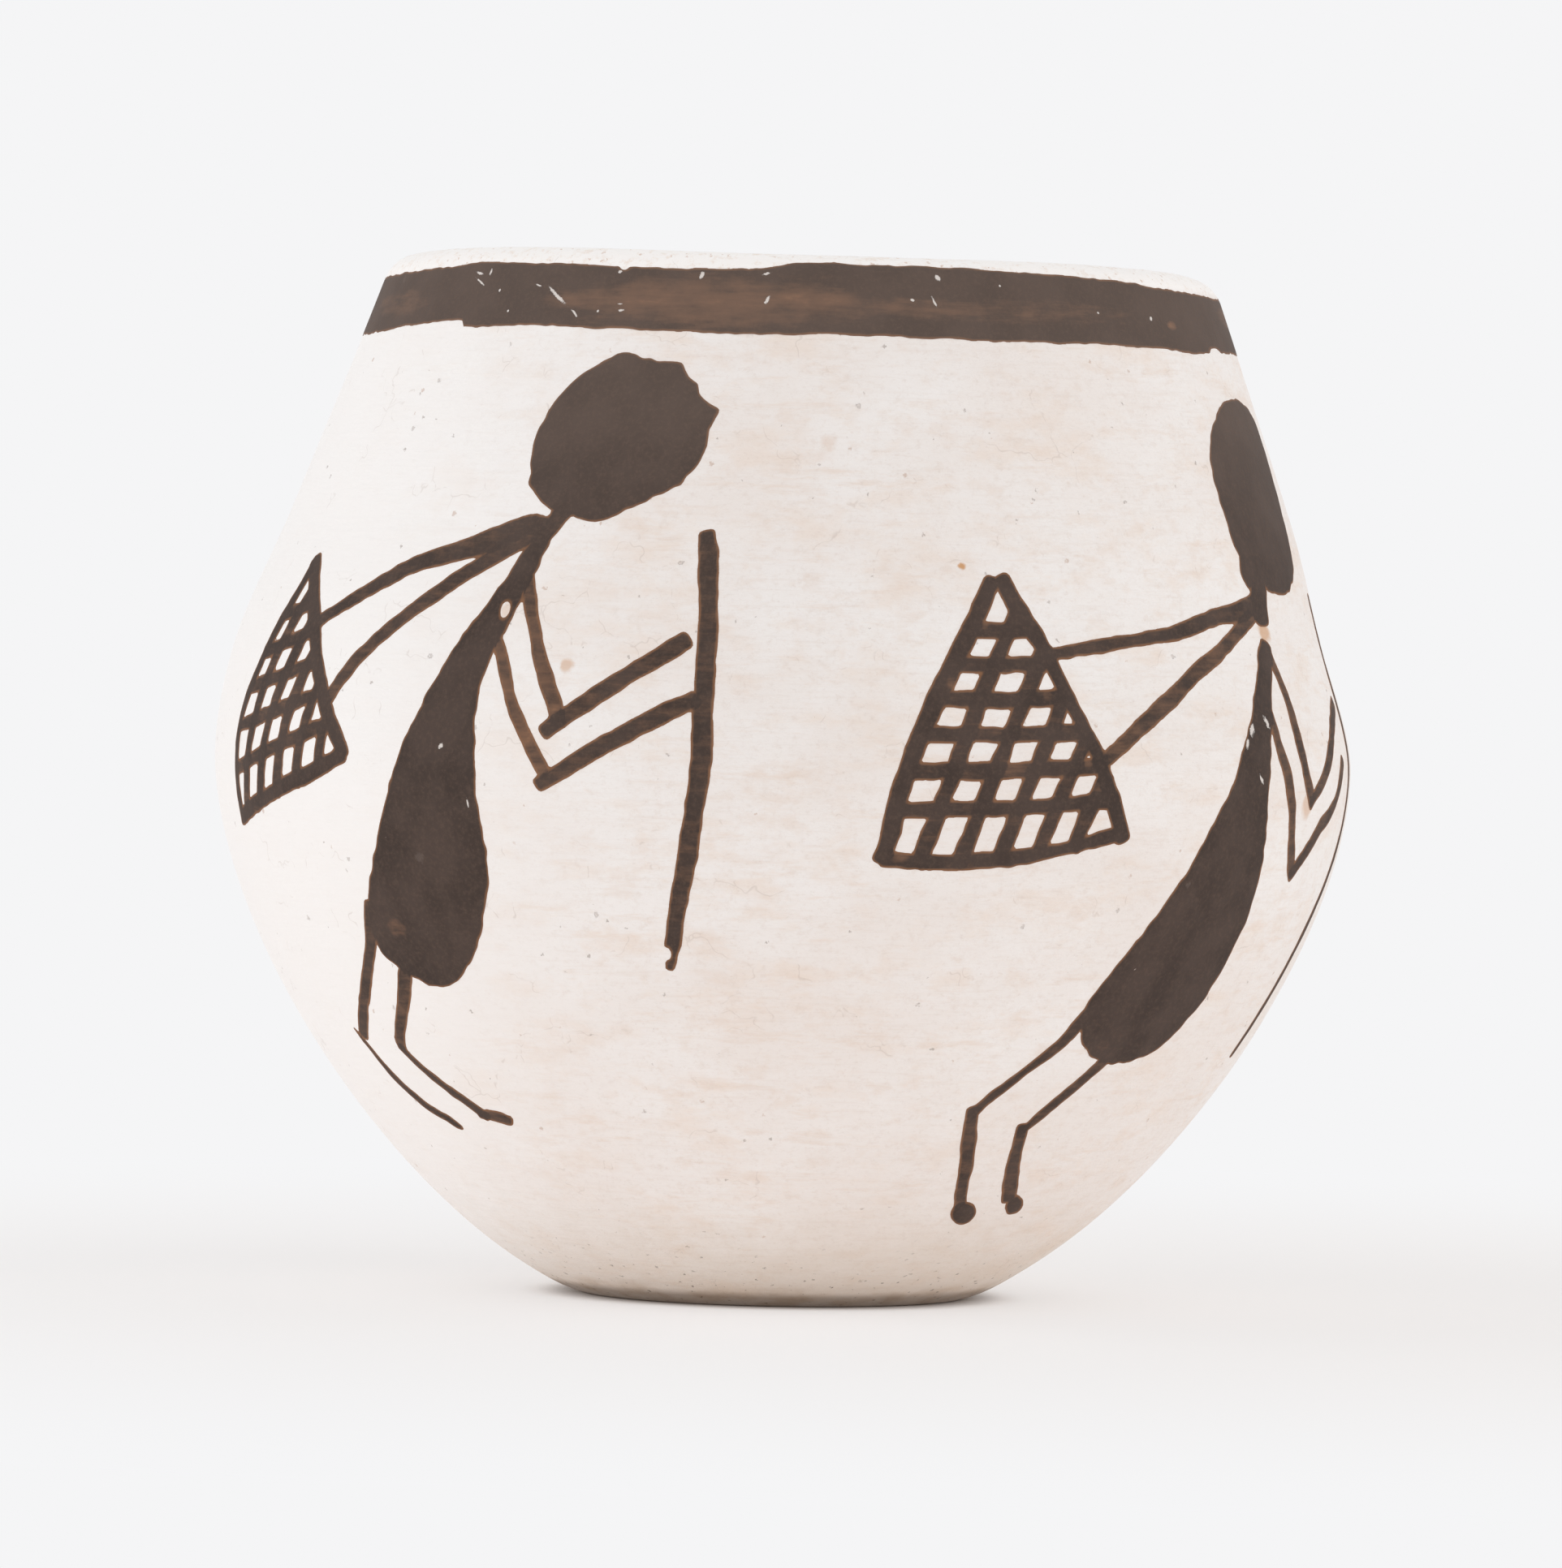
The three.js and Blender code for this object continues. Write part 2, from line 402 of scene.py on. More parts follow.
# Grain: an even, fine unevenness of colour and surface, from 0 to 1, stretched along the way of wiping
wires, given, made = new_tree(
    "grain", "ShaderNodeTree", {"Size": 1.0, "Flatness": 1.0, "Roughness": 0.5, "Shift": 0.0}, {"Value": 0.0})
grain_tree = wires.tree
millimetres = wires.scaled(wires.place(), 1 / METRE)
stretch = wires.vector(1, 1, given["Flatness"])
stretched = wires.node("ShaderNodeVectorMath", millimetres, stretch, operation="MULTIPLY").outputs[0]
shifted = wires.moved(stretched, wires.vector(given["Shift"], given["Shift"], given["Shift"]))
grain = wires.noise(shifted, wires.math("DIVIDE", 1, given["Size"]), 4, given["Roughness"])[0]
wires.join(grain, made["Value"])

# Specks: round spots at random places, each with its own size, some of them missing
wires, given, made = new_tree(
    "specks", "ShaderNodeTree", {"Spacing": 2.0, "Radius": 0.15, "Share": 0.3}, {"Mask": 0.0})
speck_tree = wires.tree
millimetres = wires.scaled(wires.place(), 1 / METRE)
bent = wires.moved(millimetres, wires.scaled(wires.noise(millimetres, 5, 3)["Color"], 0.5))
pitch = wires.math("DIVIDE", 1, given["Spacing"])
cells = wires.node("ShaderNodeTexVoronoi", named={"Vector": bent, "Scale": pitch}).outputs
distance = wires.times(cells["Distance"], given["Spacing"])
size, luck, _ = wires.node("ShaderNodeSeparateColor", cells["Color"]).outputs
reach = wires.times(given["Radius"], wires.smooth(size, 0, 1, 0.4, 1))
spot = wires.smooth(distance, wires.times(reach, 0.5), reach, 1, 0)
wires.join(wires.times(spot, wires.math("LESS_THAN", luck, given["Share"])), made["Mask"])


def material_wires(name):
    """A new material, its wires and its Principled shader."""
    material = bpy.data.materials.new(name)
    material.use_nodes = True
    return material, Wires(material.node_tree), material.node_tree.nodes["Principled BSDF"]


def group_value(wires, tree, **inputs):
    """The one output of an effect, placed in a material with its own values."""
    node = wires.node("ShaderNodeGroup", node_tree=tree)
    for name, value in inputs.items():
        node.inputs[name.title()].default_value = value
    return node.outputs[0]


def grain_value(wires, size, flatness, roughness, shift=0.0):
    """Grain of this size in millimetres, this many times wider than high, moved aside by a shift."""
    return group_value(wires, grain_tree, size=size, flatness=flatness, roughness=roughness, shift=shift)


def speck_value(wires, spacing, radius, share):
    """Specks this far apart and this large in millimetres, of which only a share is there."""
    return group_value(wires, speck_tree, spacing=spacing, radius=radius, share=share)


def surfaced(wires, shader, colour, roughness, *bumps):
    """Feeds a shader; each of its bumps is a height from 0 to 1 and the millimetres that this stands for."""
    wires.join(colour, shader.inputs["Base Color"])
    wires.join(roughness, shader.inputs["Roughness"])
    normal = None
    for height, rise in bumps:
        named = {"Height": height, "Distance": rise * METRE, "Strength": 1.0, "Normal": normal}
        normal = wires.node("ShaderNodeBump", named=named).outputs[0]
    wires.join(normal, shader.inputs["Normal"])


def clay_material():
    """Fired clay, warm tan, with darker wiping marks, grit and pale dust, and painted shade with some grime
    round the foot's edge.
    """
    material, wires, shader = material_wires("bare_clay")
    clouds = grain_value(wires, 9.0, 1.6, 0.55)
    wiping = grain_value(wires, 5.0, 7.0, 0.6, 20.0)
    grit = speck_value(wires, 1.1, 0.22, 0.35)
    pale = speck_value(wires, 1.7, 0.3, 0.2)
    fine = grain_value(wires, 0.35, 1.0, 0.7)
    x, y, height = wires.parts(wires.place())
    off_axis = wires.math("SQRT", wires.plus(wires.times(x, x), wires.times(y, y)))
    # Painted shade with some grime: the foot's lowest edge is darkened where it meets the floor.
    foot_edge_shade = wires.smooth(off_axis, (foot_radius - 1.5) * METRE, foot_radius * METRE)
    low = wires.smooth(height, 0.3 * METRE, 0.9 * METRE, 0.85, 0)
    colour = wires.layered(
        shade(203, 172, 138),
        (wires.smooth(clouds, 0.35, 0.7), shade(184, 148, 112)),
        (wires.smooth(wiping, 0.5, 0.75, 0, 0.5), shade(160, 126, 95)),
        (wires.times(grit, 0.55), shade(112, 88, 70)),
        (wires.times(pale, 0.5), shade(226, 206, 182)),
        (wires.times(foot_edge_shade, low), shade(74, 62, 52)))
    roughness = wires.smooth(fine, 0.2, 0.8, 0.8, 0.95)
    surfaced(wires, shader, colour, roughness, (wiping, 0.5), (fine, 0.08), (grit, -0.06))
    return material


slip_runs = spread(slip_above_rest, slip_end, hidden_row)
clay_section = np.vstack([
    level_at(spread(0, foot_radius, flat_row)[:-1], 0),
    face_at([0, slip_above_rest / 2, slip_above_rest], 0),
    face_at(slip_runs, slip_thickness),
    face_at(spread(slip_end, face_length, fine_row)[1:], slip_thickness),
])
inner_radius, inner_floor = clay_section[-1]
clay_section = np.vstack([clay_section, level_at(spread(inner_radius, 0, flat_row)[1:], inner_floor)])
clay_wall = grown(line_object("clay_wall", clay_section), pot_tree, {"Finish": clay_material()})
smoothed(clay_wall, 40)
on_root(clay_wall, "bare_clay", "clay_body")


# The slip coat
# White clay slip, wiped over the outside in a few coats, over the lip and a little way down inside it,
# and rubbed with a stone. It took up cream and pink clouds in the fire, and specks and stains since.
hand_marks = 0.1
worn_height = 67.0               # above this the lip is worn and specked

# Where a stain lies, as across the front and height, how far it reaches and how strong it is
stains = (
    ((12.6, 49.1), 0.4, 0.9),
    ((-14.8, 42.2), 0.6, 0.5),
    ((-27.9, 59.4), 0.4, 0.6),
    ((44.0, 61.9), 0.6, 0.5),
    ((3.0, 56.8), 0.7, 0.2),
    ((40.8, 45.2), 1.0, 0.7),
    ((43.3, 33.8), 1.1, 0.5),
    ((-19.9, 45.6), 0.7, 0.3),
)


def on_face(across, height):
    """The place on the outer face of a point this far round from the front, at the belly, and this high."""
    turn = across / belly_radius - math.pi / 2
    radius = np.interp(height, outer_face[:, 1], outer_face[:, 0])
    return Vector((radius * math.cos(turn), radius * math.sin(turn), height)) * METRE


wires, given, made = new_tree(
    "stain", "ShaderNodeTree", {"Place": (0.0, 0.0, 0.0), "Reach": 1.0}, {"Mask": 0.0})
stain_tree = wires.tree
place = wires.place()
ragged = wires.noise(place, 1400, 3)[0]
apart = wires.times(wires.apart(place, given["Place"]), 1 / METRE)
distance = wires.plus(apart, wires.times(ragged, 0.6), -0.3)
wires.join(wires.smooth(distance, wires.times(given["Reach"], 0.45), given["Reach"], 1, 0), made["Mask"])


def hairlines(wires, place, blush):
    """A net of hair cracks in the slip, where it took up the most colour."""
    bent = wires.moved(place, wires.scaled(wires.noise(place, 500, 2)["Color"], 3 * METRE))
    cells = wires.node("ShaderNodeTexVoronoi", feature="DISTANCE_TO_EDGE", named={
        "Vector": bent, "Scale": 1 / (5 * METRE)}).outputs[0]
    return wires.times(wires.smooth(cells, 0.002, 0.012, 1, 0), wires.smooth(blush, 0.55, 0.62))


def slip_material():
    """White slip with a soft shine: cream clouds, level smears, fine mottling, specks, painted light on the
    left, and a foot darkened by soil, scuffs and painted shade.
    """
    material, wires, shader = material_wires("white_slip")
    clouds = grain_value(wires, 16.0, 1.3, 0.6)
    blush = grain_value(wires, 6.5, 2.4, 0.65, 31.0)
    smears = grain_value(wires, 7.0, 6.0, 0.7, 7.0)
    rubbing = grain_value(wires, 3.5, 13.0, 0.6, 55.0)
    patches = grain_value(wires, 2.6, 1.9, 0.6, 83.0)
    mottle = grain_value(wires, 0.8, 1.3, 0.75, 3.0)
    fine = grain_value(wires, 0.3, 1.5, 0.7)
    lumps = grain_value(wires, 2.4, 1.2, 0.5, 12.0)
    soot = speck_value(wires, 1.3, 0.17, 0.3)
    flecks = speck_value(wires, 2.1, 0.24, 0.45)
    pits = speck_value(wires, 1.6, 0.2, 0.2)
    grit = speck_value(wires, 0.6, 0.17, 0.6)

    place = wires.place()
    x, _, height = wires.parts(place)
    height = wires.times(height, 1 / METRE)
    # Painted light: the slip's left side is made whiter, as if lit more strongly there.
    painted_light_left = wires.smooth(x, -30 * METRE, -6 * METRE, 0.9, 0)
    ragged_height = wires.plus(height, wires.times(lumps, 5), -2.5)
    less_soil_and_shade = wires.plus(wires.times(painted_light_left, -0.8), 1)
    # Scuffs near the foot, strengthened into painted shade where the pot meets the floor.
    scuffed_and_shaded = wires.smooth(height, 0.6, 2.0, 1, 0)
    on_lip = wires.smooth(height, worn_height, worn_height + 0.8)

    colour = wires.layered(
        shade(243, 239, 237),
        (wires.smooth(clouds, 0.35, 0.65), shade(239, 232, 228)),
        (wires.smooth(blush, 0.48, 0.7, 0, 0.5), shade(236, 219, 206)),
        (wires.smooth(patches, 0.52, 0.74, 0, 0.35), shade(230, 211, 197)),
        (wires.smooth(smears, 0.55, 0.75, 0, 0.4), shade(229, 206, 188)),
        (wires.smooth(rubbing, 0.5, 0.75, 0, 0.2), shade(224, 207, 196)),
        (wires.smooth(mottle, 0.5, 0.76, 0, 0.35), shade(222, 207, 197)),
        (wires.smooth(fine, 0.52, 0.78, 0, 0.3), shade(212, 197, 188)),
        (painted_light_left, shade(249, 247, 246)),
        (wires.times(flecks, 0.45), shade(184, 146, 120)),
        (wires.times(soot, 0.55), shade(148, 134, 126)),
        (wires.times(pits, 0.35), shade(178, 160, 148)),
        # Darker towards the foot from soil and scuffs and from painted shade under the pot, less so on the
        # painted-lit left; the dark line at the very bottom is painted shade where the pot meets the floor.
        (wires.times(wires.smooth(ragged_height, 0.8, 9, 0.45, 0), less_soil_and_shade), shade(214, 198, 180)),
        (wires.times(scuffed_and_shaded, wires.smooth(lumps, 0.4, 0.7, 0.15, 0.6)), shade(176, 150, 122)),
        (wires.smooth(height, 0.6, 1.2, 0.6, 0), shade(112, 92, 76)),
        (wires.times(grit, wires.smooth(ragged_height, 0.5, 5.5, 0.75, 0)), shade(98, 84, 70)),
        (wires.times(on_lip, 0.9), shade(254, 251, 249)),
        (wires.times(on_lip, wires.smooth(mottle, 0.5, 0.72, 0, 0.42)), shade(226, 198, 174)),
        (wires.times(on_lip, grit, 0.5), shade(196, 150, 116)))
    for spot, reach, strength in stains:
        mask = group_value(wires, stain_tree, place=on_face(*spot), reach=reach)
        colour = wires.mixed(wires.times(mask, strength), colour, shade(204, 150, 96))
    colour = wires.mixed(wires.times(hairlines(wires, place, blush), 0.22), colour, shade(176, 160, 150))
    shader.inputs["Specular IOR Level"].default_value = 0.35
    roughness = wires.smooth(wires.plus(rubbing, fine), 0.6, 1.4, 0.5, 0.72)
    bumps = (lumps, 0.1), (rubbing, 0.05), (mottle, 0.04), (fine, 0.02), (pits, -0.05)
    surfaced(wires, shader, colour, roughness, *bumps)
    return material


slip_section = np.vstack([
    face_at(spread(slip_above_rest, outer_length, fine_row)[:-1], 0),
    face_at(spread(outer_length, lip_end, lip_row), 0),
    face_at(spread(lip_end, slip_end, fine_row)[1:], 0),
    face_at(slip_runs[::-1], slip_thickness),
    face_at([slip_above_rest], 0),
])
slip_coat = grown(line_object("slip_coat", slip_section), pot_tree, {
    "Finish": slip_material(), "Hand Marks": hand_marks * METRE})
smoothed(slip_coat, 50)
on_root(slip_coat, "white_slip", "white_slip")


# The paint
# Dark mineral and plant paint, brushed on the burnished slip and fired on it. Where it lies thin it is
# brown and lets the slip through, where strokes cross it is nearly black, and chips show the slip.
girth = 2 * math.pi * belly_radius
paint_pitch = 0.18               # the grid that the edge of the paint is found on
paint_thickness = 0.035
paint_sunk = 0.02                # how far the film's underside lies in the slip
stroke_bluntness = 1.25          # how much shorter than a half circle a stroke's end is
flow_step = 0.5                  # from one point of a smooth line to the next
hand_stray = 0.08                # how far the hand strays at the edge of a stroke
bristle_stray = 0.06             # and the bristles, more at the edge of a filled shape
blot_stray = 0.1
soft_edge = (-0.02, 0.16)        # from the edge, where the load of ink builds up
crest_run = outer_length + lip_radius * (math.pi / 2 - lip_start)
crest_row = 0.1
face_to_crest = np.vstack([outer_face, face_at(spread(outer_length, crest_run, crest_row)[1:-1], 0)])


class Unevenness:
    """A smooth field from -1 to 1 over the whole face, that joins up behind the pot."""

    def __init__(self, grain, seed):
        self.columns = round(girth / grain)
        self.grain = girth / self.columns
        self.values = np.random.default_rng(seed).uniform(-1, 1, (int(2 * pot_height / grain), self.columns))

    def at(self, across, height, shift=0):
        column = across / self.grain
        row = height / self.grain + shift
        left = np.floor(column).astype(int)
        low = np.floor(row).astype(int)
        right_share = soft_step(column - left, 0, 1)
        high_share = soft_step(row - low, 0, 1)
        rows = len(self.values)

        def corner(up, over):
            return self.values[(low + up) % rows, (left + over) % self.columns]
        below = corner(0, 0) * (1 - right_share) + corner(0, 1) * right_share
        above = corner(1, 0) * (1 - right_share) + corner(1, 1) * right_share
        return below * (1 - high_share) + above * high_share


hand_wobble = Unevenness(2.6, 3)
bristle_wobble = Unevenness(0.7, 5)


def flowing(points, closed=False):
    """A smooth line through points, in even steps."""
    points = [np.array(point, float) for point in points]
    if closed:
        ends = [points[-1]] + points + points[:2]
    else:
        ends = [2 * points[0] - points[1]] + points + [2 * points[-1] - points[-2]]
    line = []
    for before, low, high, after in zip(ends, ends[1:], ends[2:], ends[3:]):
        steps = max(2, round(math.hypot(*(high - low)[:2]) / flow_step))
        for share in np.linspace(0, 1, steps, endpoint=False):
            line.append(low + 0.5 * share * (high - before + share * (
                2 * before - 5 * low + 4 * high - after + share * (3 * (low - high) + after - before))))
    line.append(ends[-2])
    return line


class Sheet:
    """A patch of the pot's face that takes ink, laid flat as millimetres across, at the belly, and height.

    All that is drawn on it is placed across from its start."""

    def __init__(self, start, reach, low, high):
        self.start = start
        columns = round((reach[1] - reach[0]) / paint_pitch)
        rows = round((high - low) / paint_pitch)
        self.across, self.height = np.meshgrid(
            np.linspace(start + reach[0], start + reach[1], columns + 1), np.linspace(low, high, rows + 1))
        heights = self.height[:, 0]
        radius = np.interp(heights, face_to_crest[:, 1], face_to_crest[:, 0])
        self.wide = (radius / belly_radius)[:, None]   # real millimetres in one millimetre across
        self.tall = np.hypot(1, np.gradient(radius, heights))[:, None]   # and in one of height
        self.edge = np.full(self.across.shape, -1.0)
        self.load = np.zeros(self.across.shape)
        self.strokes = 0

    def real(self, across, height, patch=np.s_[:, :]):
        """Distances across and up the face in real millimetres, from differences on the flat sheet."""
        return across * self.wide[patch[0]], height * self.tall[patch[0]]

    def lay(self, depth, load, ragged=bristle_stray):
        """Adds ink that reaches this far inside its edge, with the wobble of a brush of its own."""
        self.strokes += 1
        shift = self.strokes * 7.3
        wobble = hand_stray * hand_wobble.at(self.across, self.height, shift)
        wobble += ragged * bristle_wobble.at(self.across, self.height, shift)
        depth = depth + wobble
        self.edge = np.maximum(self.edge, depth)
        self.load += load * soft_step(depth, *soft_edge)

    def oval(self, across, height, reach, rise, lean):
        """How deep each place lies in an oval turned by some degrees: 1 at its middle and 0 at its edge."""
        over, up = self.real(self.across - self.start - across, self.height - height)
        cosine, sine = math.cos(math.radians(lean)), math.sin(math.radians(lean))
        return 1 - np.hypot((over * cosine + up * sine) / reach, (up * cosine - over * sine) / rise)

    def dab(self, across, height, reach, rise, lean, load=1.2):
        """A round touch of the brush."""
        self.lay(self.oval(across, height, reach, rise, lean) * min(reach, rise), load)

    def chip(self, across, height, reach, rise, lean=0):
        """Takes ink away from a ragged oval."""
        away = -self.oval(across, height, reach, rise, lean) * min(reach, rise)
        away += blot_stray * bristle_wobble.at(self.across, self.height, self.start + across)
        self.edge = np.minimum(self.edge, away)

    def thin(self, *spots):
        """Wears ink thin over ovals, by across, height, half length, half width and how much of it goes."""
        for *oval, share in spots:
            self.load *= 1 - share * soft_step(self.oval(*oval, 0), 0, 0.7)

    def stroke(self, load, *points):
        """One stroke of the brush through points of across, height and width, with rounded ends."""
        line = [point + [self.start, 0, 0] for point in flowing(points)]
        depth = np.full(self.across.shape, -1.0)
        for low, high in zip(line, line[1:]):
            margin = max(low[2], high[2]) / 2 + 0.6
            columns = np.nonzero((self.across[0] > min(low[0], high[0]) - 2.2 * margin)
                                 & (self.across[0] < max(low[0], high[0]) + 2.2 * margin))[0]
            rows = np.nonzero((self.height[:, 0] > min(low[1], high[1]) - margin)
                              & (self.height[:, 0] < max(low[1], high[1]) + margin))[0]
            if not len(columns) or not len(rows):
                continue
            patch = np.s_[rows[0]:rows[-1] + 1, columns[0]:columns[-1] + 1]
            over, up = self.real(self.across[patch] - low[0], self.height[patch] - low[1], patch)
            run, lift = self.real(high[0] - low[0], high[1] - low[1], patch)
            length = np.hypot(run, lift)
            along = (over * run + up * lift) / length ** 2
            share = np.clip(along, 0, 1)
            beside = np.abs(over * lift - up * run) / length
            beyond = stroke_bluntness * np.abs(along - share) * length
            away = (beside ** 3 + beyond ** 3) ** (1 / 3)
            inside = (low[2] + (high[2] - low[2]) * share) / 2 - away
            depth[patch] = np.maximum(depth[patch], inside)
        self.lay(depth, load)

    def blot(self, *points):
        """A filled shape inside a smooth closed outline of points of across and height."""
        line = [point + [self.start, 0] for point in flowing(points, closed=True)]
        inside = np.zeros(self.across.shape, bool)
        nearest = np.full(self.across.shape, 4.0)
        for low, high in zip(line, line[1:]):
            crosses = (low[1] > self.height) != (high[1] > self.height)
            rise = high[1] - low[1] or 1e-9
            crossing = low[0] + (self.height - low[1]) * (high[0] - low[0]) / rise
            inside ^= crosses & (self.across < crossing)
            over, up = self.real(self.across - low[0], self.height - low[1])
            run, lift = self.real(high[0] - low[0], high[1] - low[1])
            share = np.clip((over * run + up * lift) / (run * run + lift * lift + 1e-9), 0, 1)
            nearest = np.minimum(nearest, np.hypot(over - share * run, up - share * lift))
        self.lay(np.where(inside, nearest, -nearest), 1.6, blot_stray)


def inked_mesh(name, sheet):
    """The inked side of a sheet as a flat mesh, whose border runs where the ink's edge crosses the grid."""
    inside = sheet.edge > 0
    known, places, marks, faces = {}, [], [], []
    fields = (sheet.across, sheet.height, sheet.edge, sheet.load)

    def vertex(first, second):
        low, high = min(first, second), max(first, second)
        if (low, high) not in known:
            share = 0
            if low != high:
                share = sheet.edge[low] / (sheet.edge[low] - sheet.edge[high])
                share = min(max(share, 0.1), 0.9)
            known[low, high] = len(places)
            across, height, *mark = (field[low] * (1 - share) + field[high] * share for field in fields)
            places.append((across * METRE, 0, height * METRE))
            marks.append(mark)
        return known[low, high]

    any_inside = inside[:-1, :-1] | inside[1:, :-1] | inside[:-1, 1:] | inside[1:, 1:]
    for row, column in np.argwhere(any_inside):
        corners = [(row, column), (row, column + 1), (row + 1, column + 1), (row + 1, column)]
        ring = []
        for here, after in zip(corners, corners[1:] + corners[:1]):
            if inside[here]:
                ring.append(vertex(here, here))
            if inside[here] != inside[after]:
                ring.append(vertex(here, after))
        faces.append(ring)
    obj = mesh_object(name, places, [], faces)
    for label, values in zip(("edge", "load"), np.transpose(marks)):
        obj.data.attributes.new(label, "FLOAT", "POINT").data.foreach_set("value", np.maximum(values, 0))
    flat = obj.data.attributes.new("flat", "FLOAT_VECTOR", "POINT").data
    flat.foreach_set("vector", np.ravel(places) / METRE)
    return obj


# Lays a flat sheet of ink on the pot and gives it its thickness, thinning out at its edge
outside_pot = 60 * METRE         # from the axis, where each point of the sheet starts its way in
wires, given, made = new_tree("laid_on_pot", "GeometryNodeTree", {
    "Sheet": "NodeSocketGeometry",
    "Pot": "NodeSocketObject",
    "Finish": "NodeSocketMaterial",
    "Belly Radius": belly_radius * METRE,
    **strays,
    "Thickness": paint_thickness * METRE,
    "Sunk": paint_sunk * METRE,
}, {"Film": "NodeSocketGeometry"})
film_tree = wires.tree
across, _, height = wires.parts(wires.node("GeometryNodeInputPosition").outputs[0])
turn = wires.plus(wires.math("DIVIDE", across, given["Belly Radius"]), -math.pi / 2)
outward = wires.vector(wires.math("COSINE", turn), wires.math("SINE", turn), 0)
axis = wires.vector(drift_node(wires, given, height)["Drift"], 0, height)
hit = wires.node("GeometryNodeRaycast", named={
    "Target Geometry": wires.node("GeometryNodeObjectInfo", given["Pot"]).outputs["Geometry"],
    "Source Position": wires.moved(axis, wires.scaled(outward, outside_pot)),
    "Ray Direction": wires.scaled(outward, -1),
    "Ray Length": outside_pot}).outputs
seat = wires.moved(hit["Hit Position"], wires.scaled(hit["Hit Normal"], wires.times(given["Sunk"], -1)))
laid = wires.node("GeometryNodeSetPosition", given["Sheet"], None, seat).outputs[0]
laid = wires.node("GeometryNodeMergeByDistance", laid, named={"Distance": 0.001 * METRE}).outputs[0]
edge = wires.node("GeometryNodeInputNamedAttribute", "edge", data_type="FLOAT").outputs[0]
proud = wires.plus(wires.times(given["Thickness"], wires.smooth(edge, 0, 0.3, 0.45, 1)), given["Sunk"])
lift = wires.scaled(wires.node("GeometryNodeInputNormal").outputs[0], proud)
raised = wires.node("GeometryNodeExtrudeMesh", laid, None, lift, 1.0, False, mode="FACES").outputs["Mesh"]
both = wires.node("GeometryNodeJoinGeometry", raised)
wires.join(wires.node("GeometryNodeFlipFaces", laid).outputs[0], both.inputs[0])
closed = wires.node(
    "GeometryNodeMergeByDistance", both.outputs[0], named={"Distance": 0.001 * METRE}).outputs[0]
real = wires.node("GeometryNodeRealizeInstances", closed).outputs[0]
finished = wires.node("GeometryNodeSetMaterial", real, None, given["Finish"]).outputs[0]
wires.join(finished, made["Film"])


# Scratches down to the slip: across, height, half the length, half the width, degrees of rise to the right
scratches = (
    (-22.6, 66.0, 1.2, 0.12, -28), (-20.4, 64.85, 0.5, 0.08, -34), (-24.9, 66.7, 0.35, 0.06, -13),
    (-32.5, 67.5, 0.45, 0.09, -9), (-32.1, 66.95, 0.7, 0.06, -20), (-31.1, 67.6, 0.15, 0.2, 0),
    (-29.3, 66.4, 0.11, 0.1, 0), (-27.6, 65.0, 0.09, 0.08, 0), (-18.2, 65.0, 0.12, 0.09, 0),
    (-16.0, 65.1, 0.32, 0.09, 0), (-16.2, 65.5, 0.22, 0.05, 0), (-16.8, 67.6, 0.2, 0.1, 0),
    (-9.1, 67.4, 0.24, 0.18, 50), (-3.1, 65.9, 0.3, 0.14, 50), (-3.3, 67.6, 0.4, 0.08, 10),
    (9.6, 66.1, 0.2, 0.09, 0), (11.6, 66.0, 0.45, 0.1, -60), (12.1, 67.6, 0.25, 0.18, 0),
    (18.0, 67.2, 0.12, 0.08, 0), (28.2, 65.7, 0.13, 0.08, 0), (35.1, 65.5, 0.16, 0.12, 0),
    (82, 66.4, 0.9, 0.1, -35), (-66, 65.2, 0.5, 0.1, 25),
    (-23.5, 36.8, 0.22, 0.14, 30), (-21.4, 33.2, 0.08, 0.3, 15),
    (36.0, 38.8, 0.45, 0.22, 62), (38.0, 39.3, 0.4, 0.2, -60), (35.2, 37.9, 0.35, 0.14, 62),
    (36.5, 35.6, 0.35, 0.12, -50), (26.2, 17.6, 0.22, 0.1, 0),
)


def scratched(wires, fine):
    """Where a scratch has bared the slip, from 0 to 1."""
    flat = wires.node("ShaderNodeAttribute", attribute_name="flat").outputs["Vector"]
    ragged = wires.smooth(fine, 0.3, 0.7, -0.4, 0.4)
    bared = 0.0
    for across, height, reach, rise, lean in scratches:
        turned = wires.node(
            "ShaderNodeMapping", flat, (across, 0, height), (0, math.radians(-lean), 0), (reach, 1, rise),
            vector_type="TEXTURE").outputs[0]
        out = wires.plus(wires.apart(turned), ragged)
        bared = wires.math("MAXIMUM", bared, wires.smooth(out, 0.7, 1.15, 1, 0))
    return bared


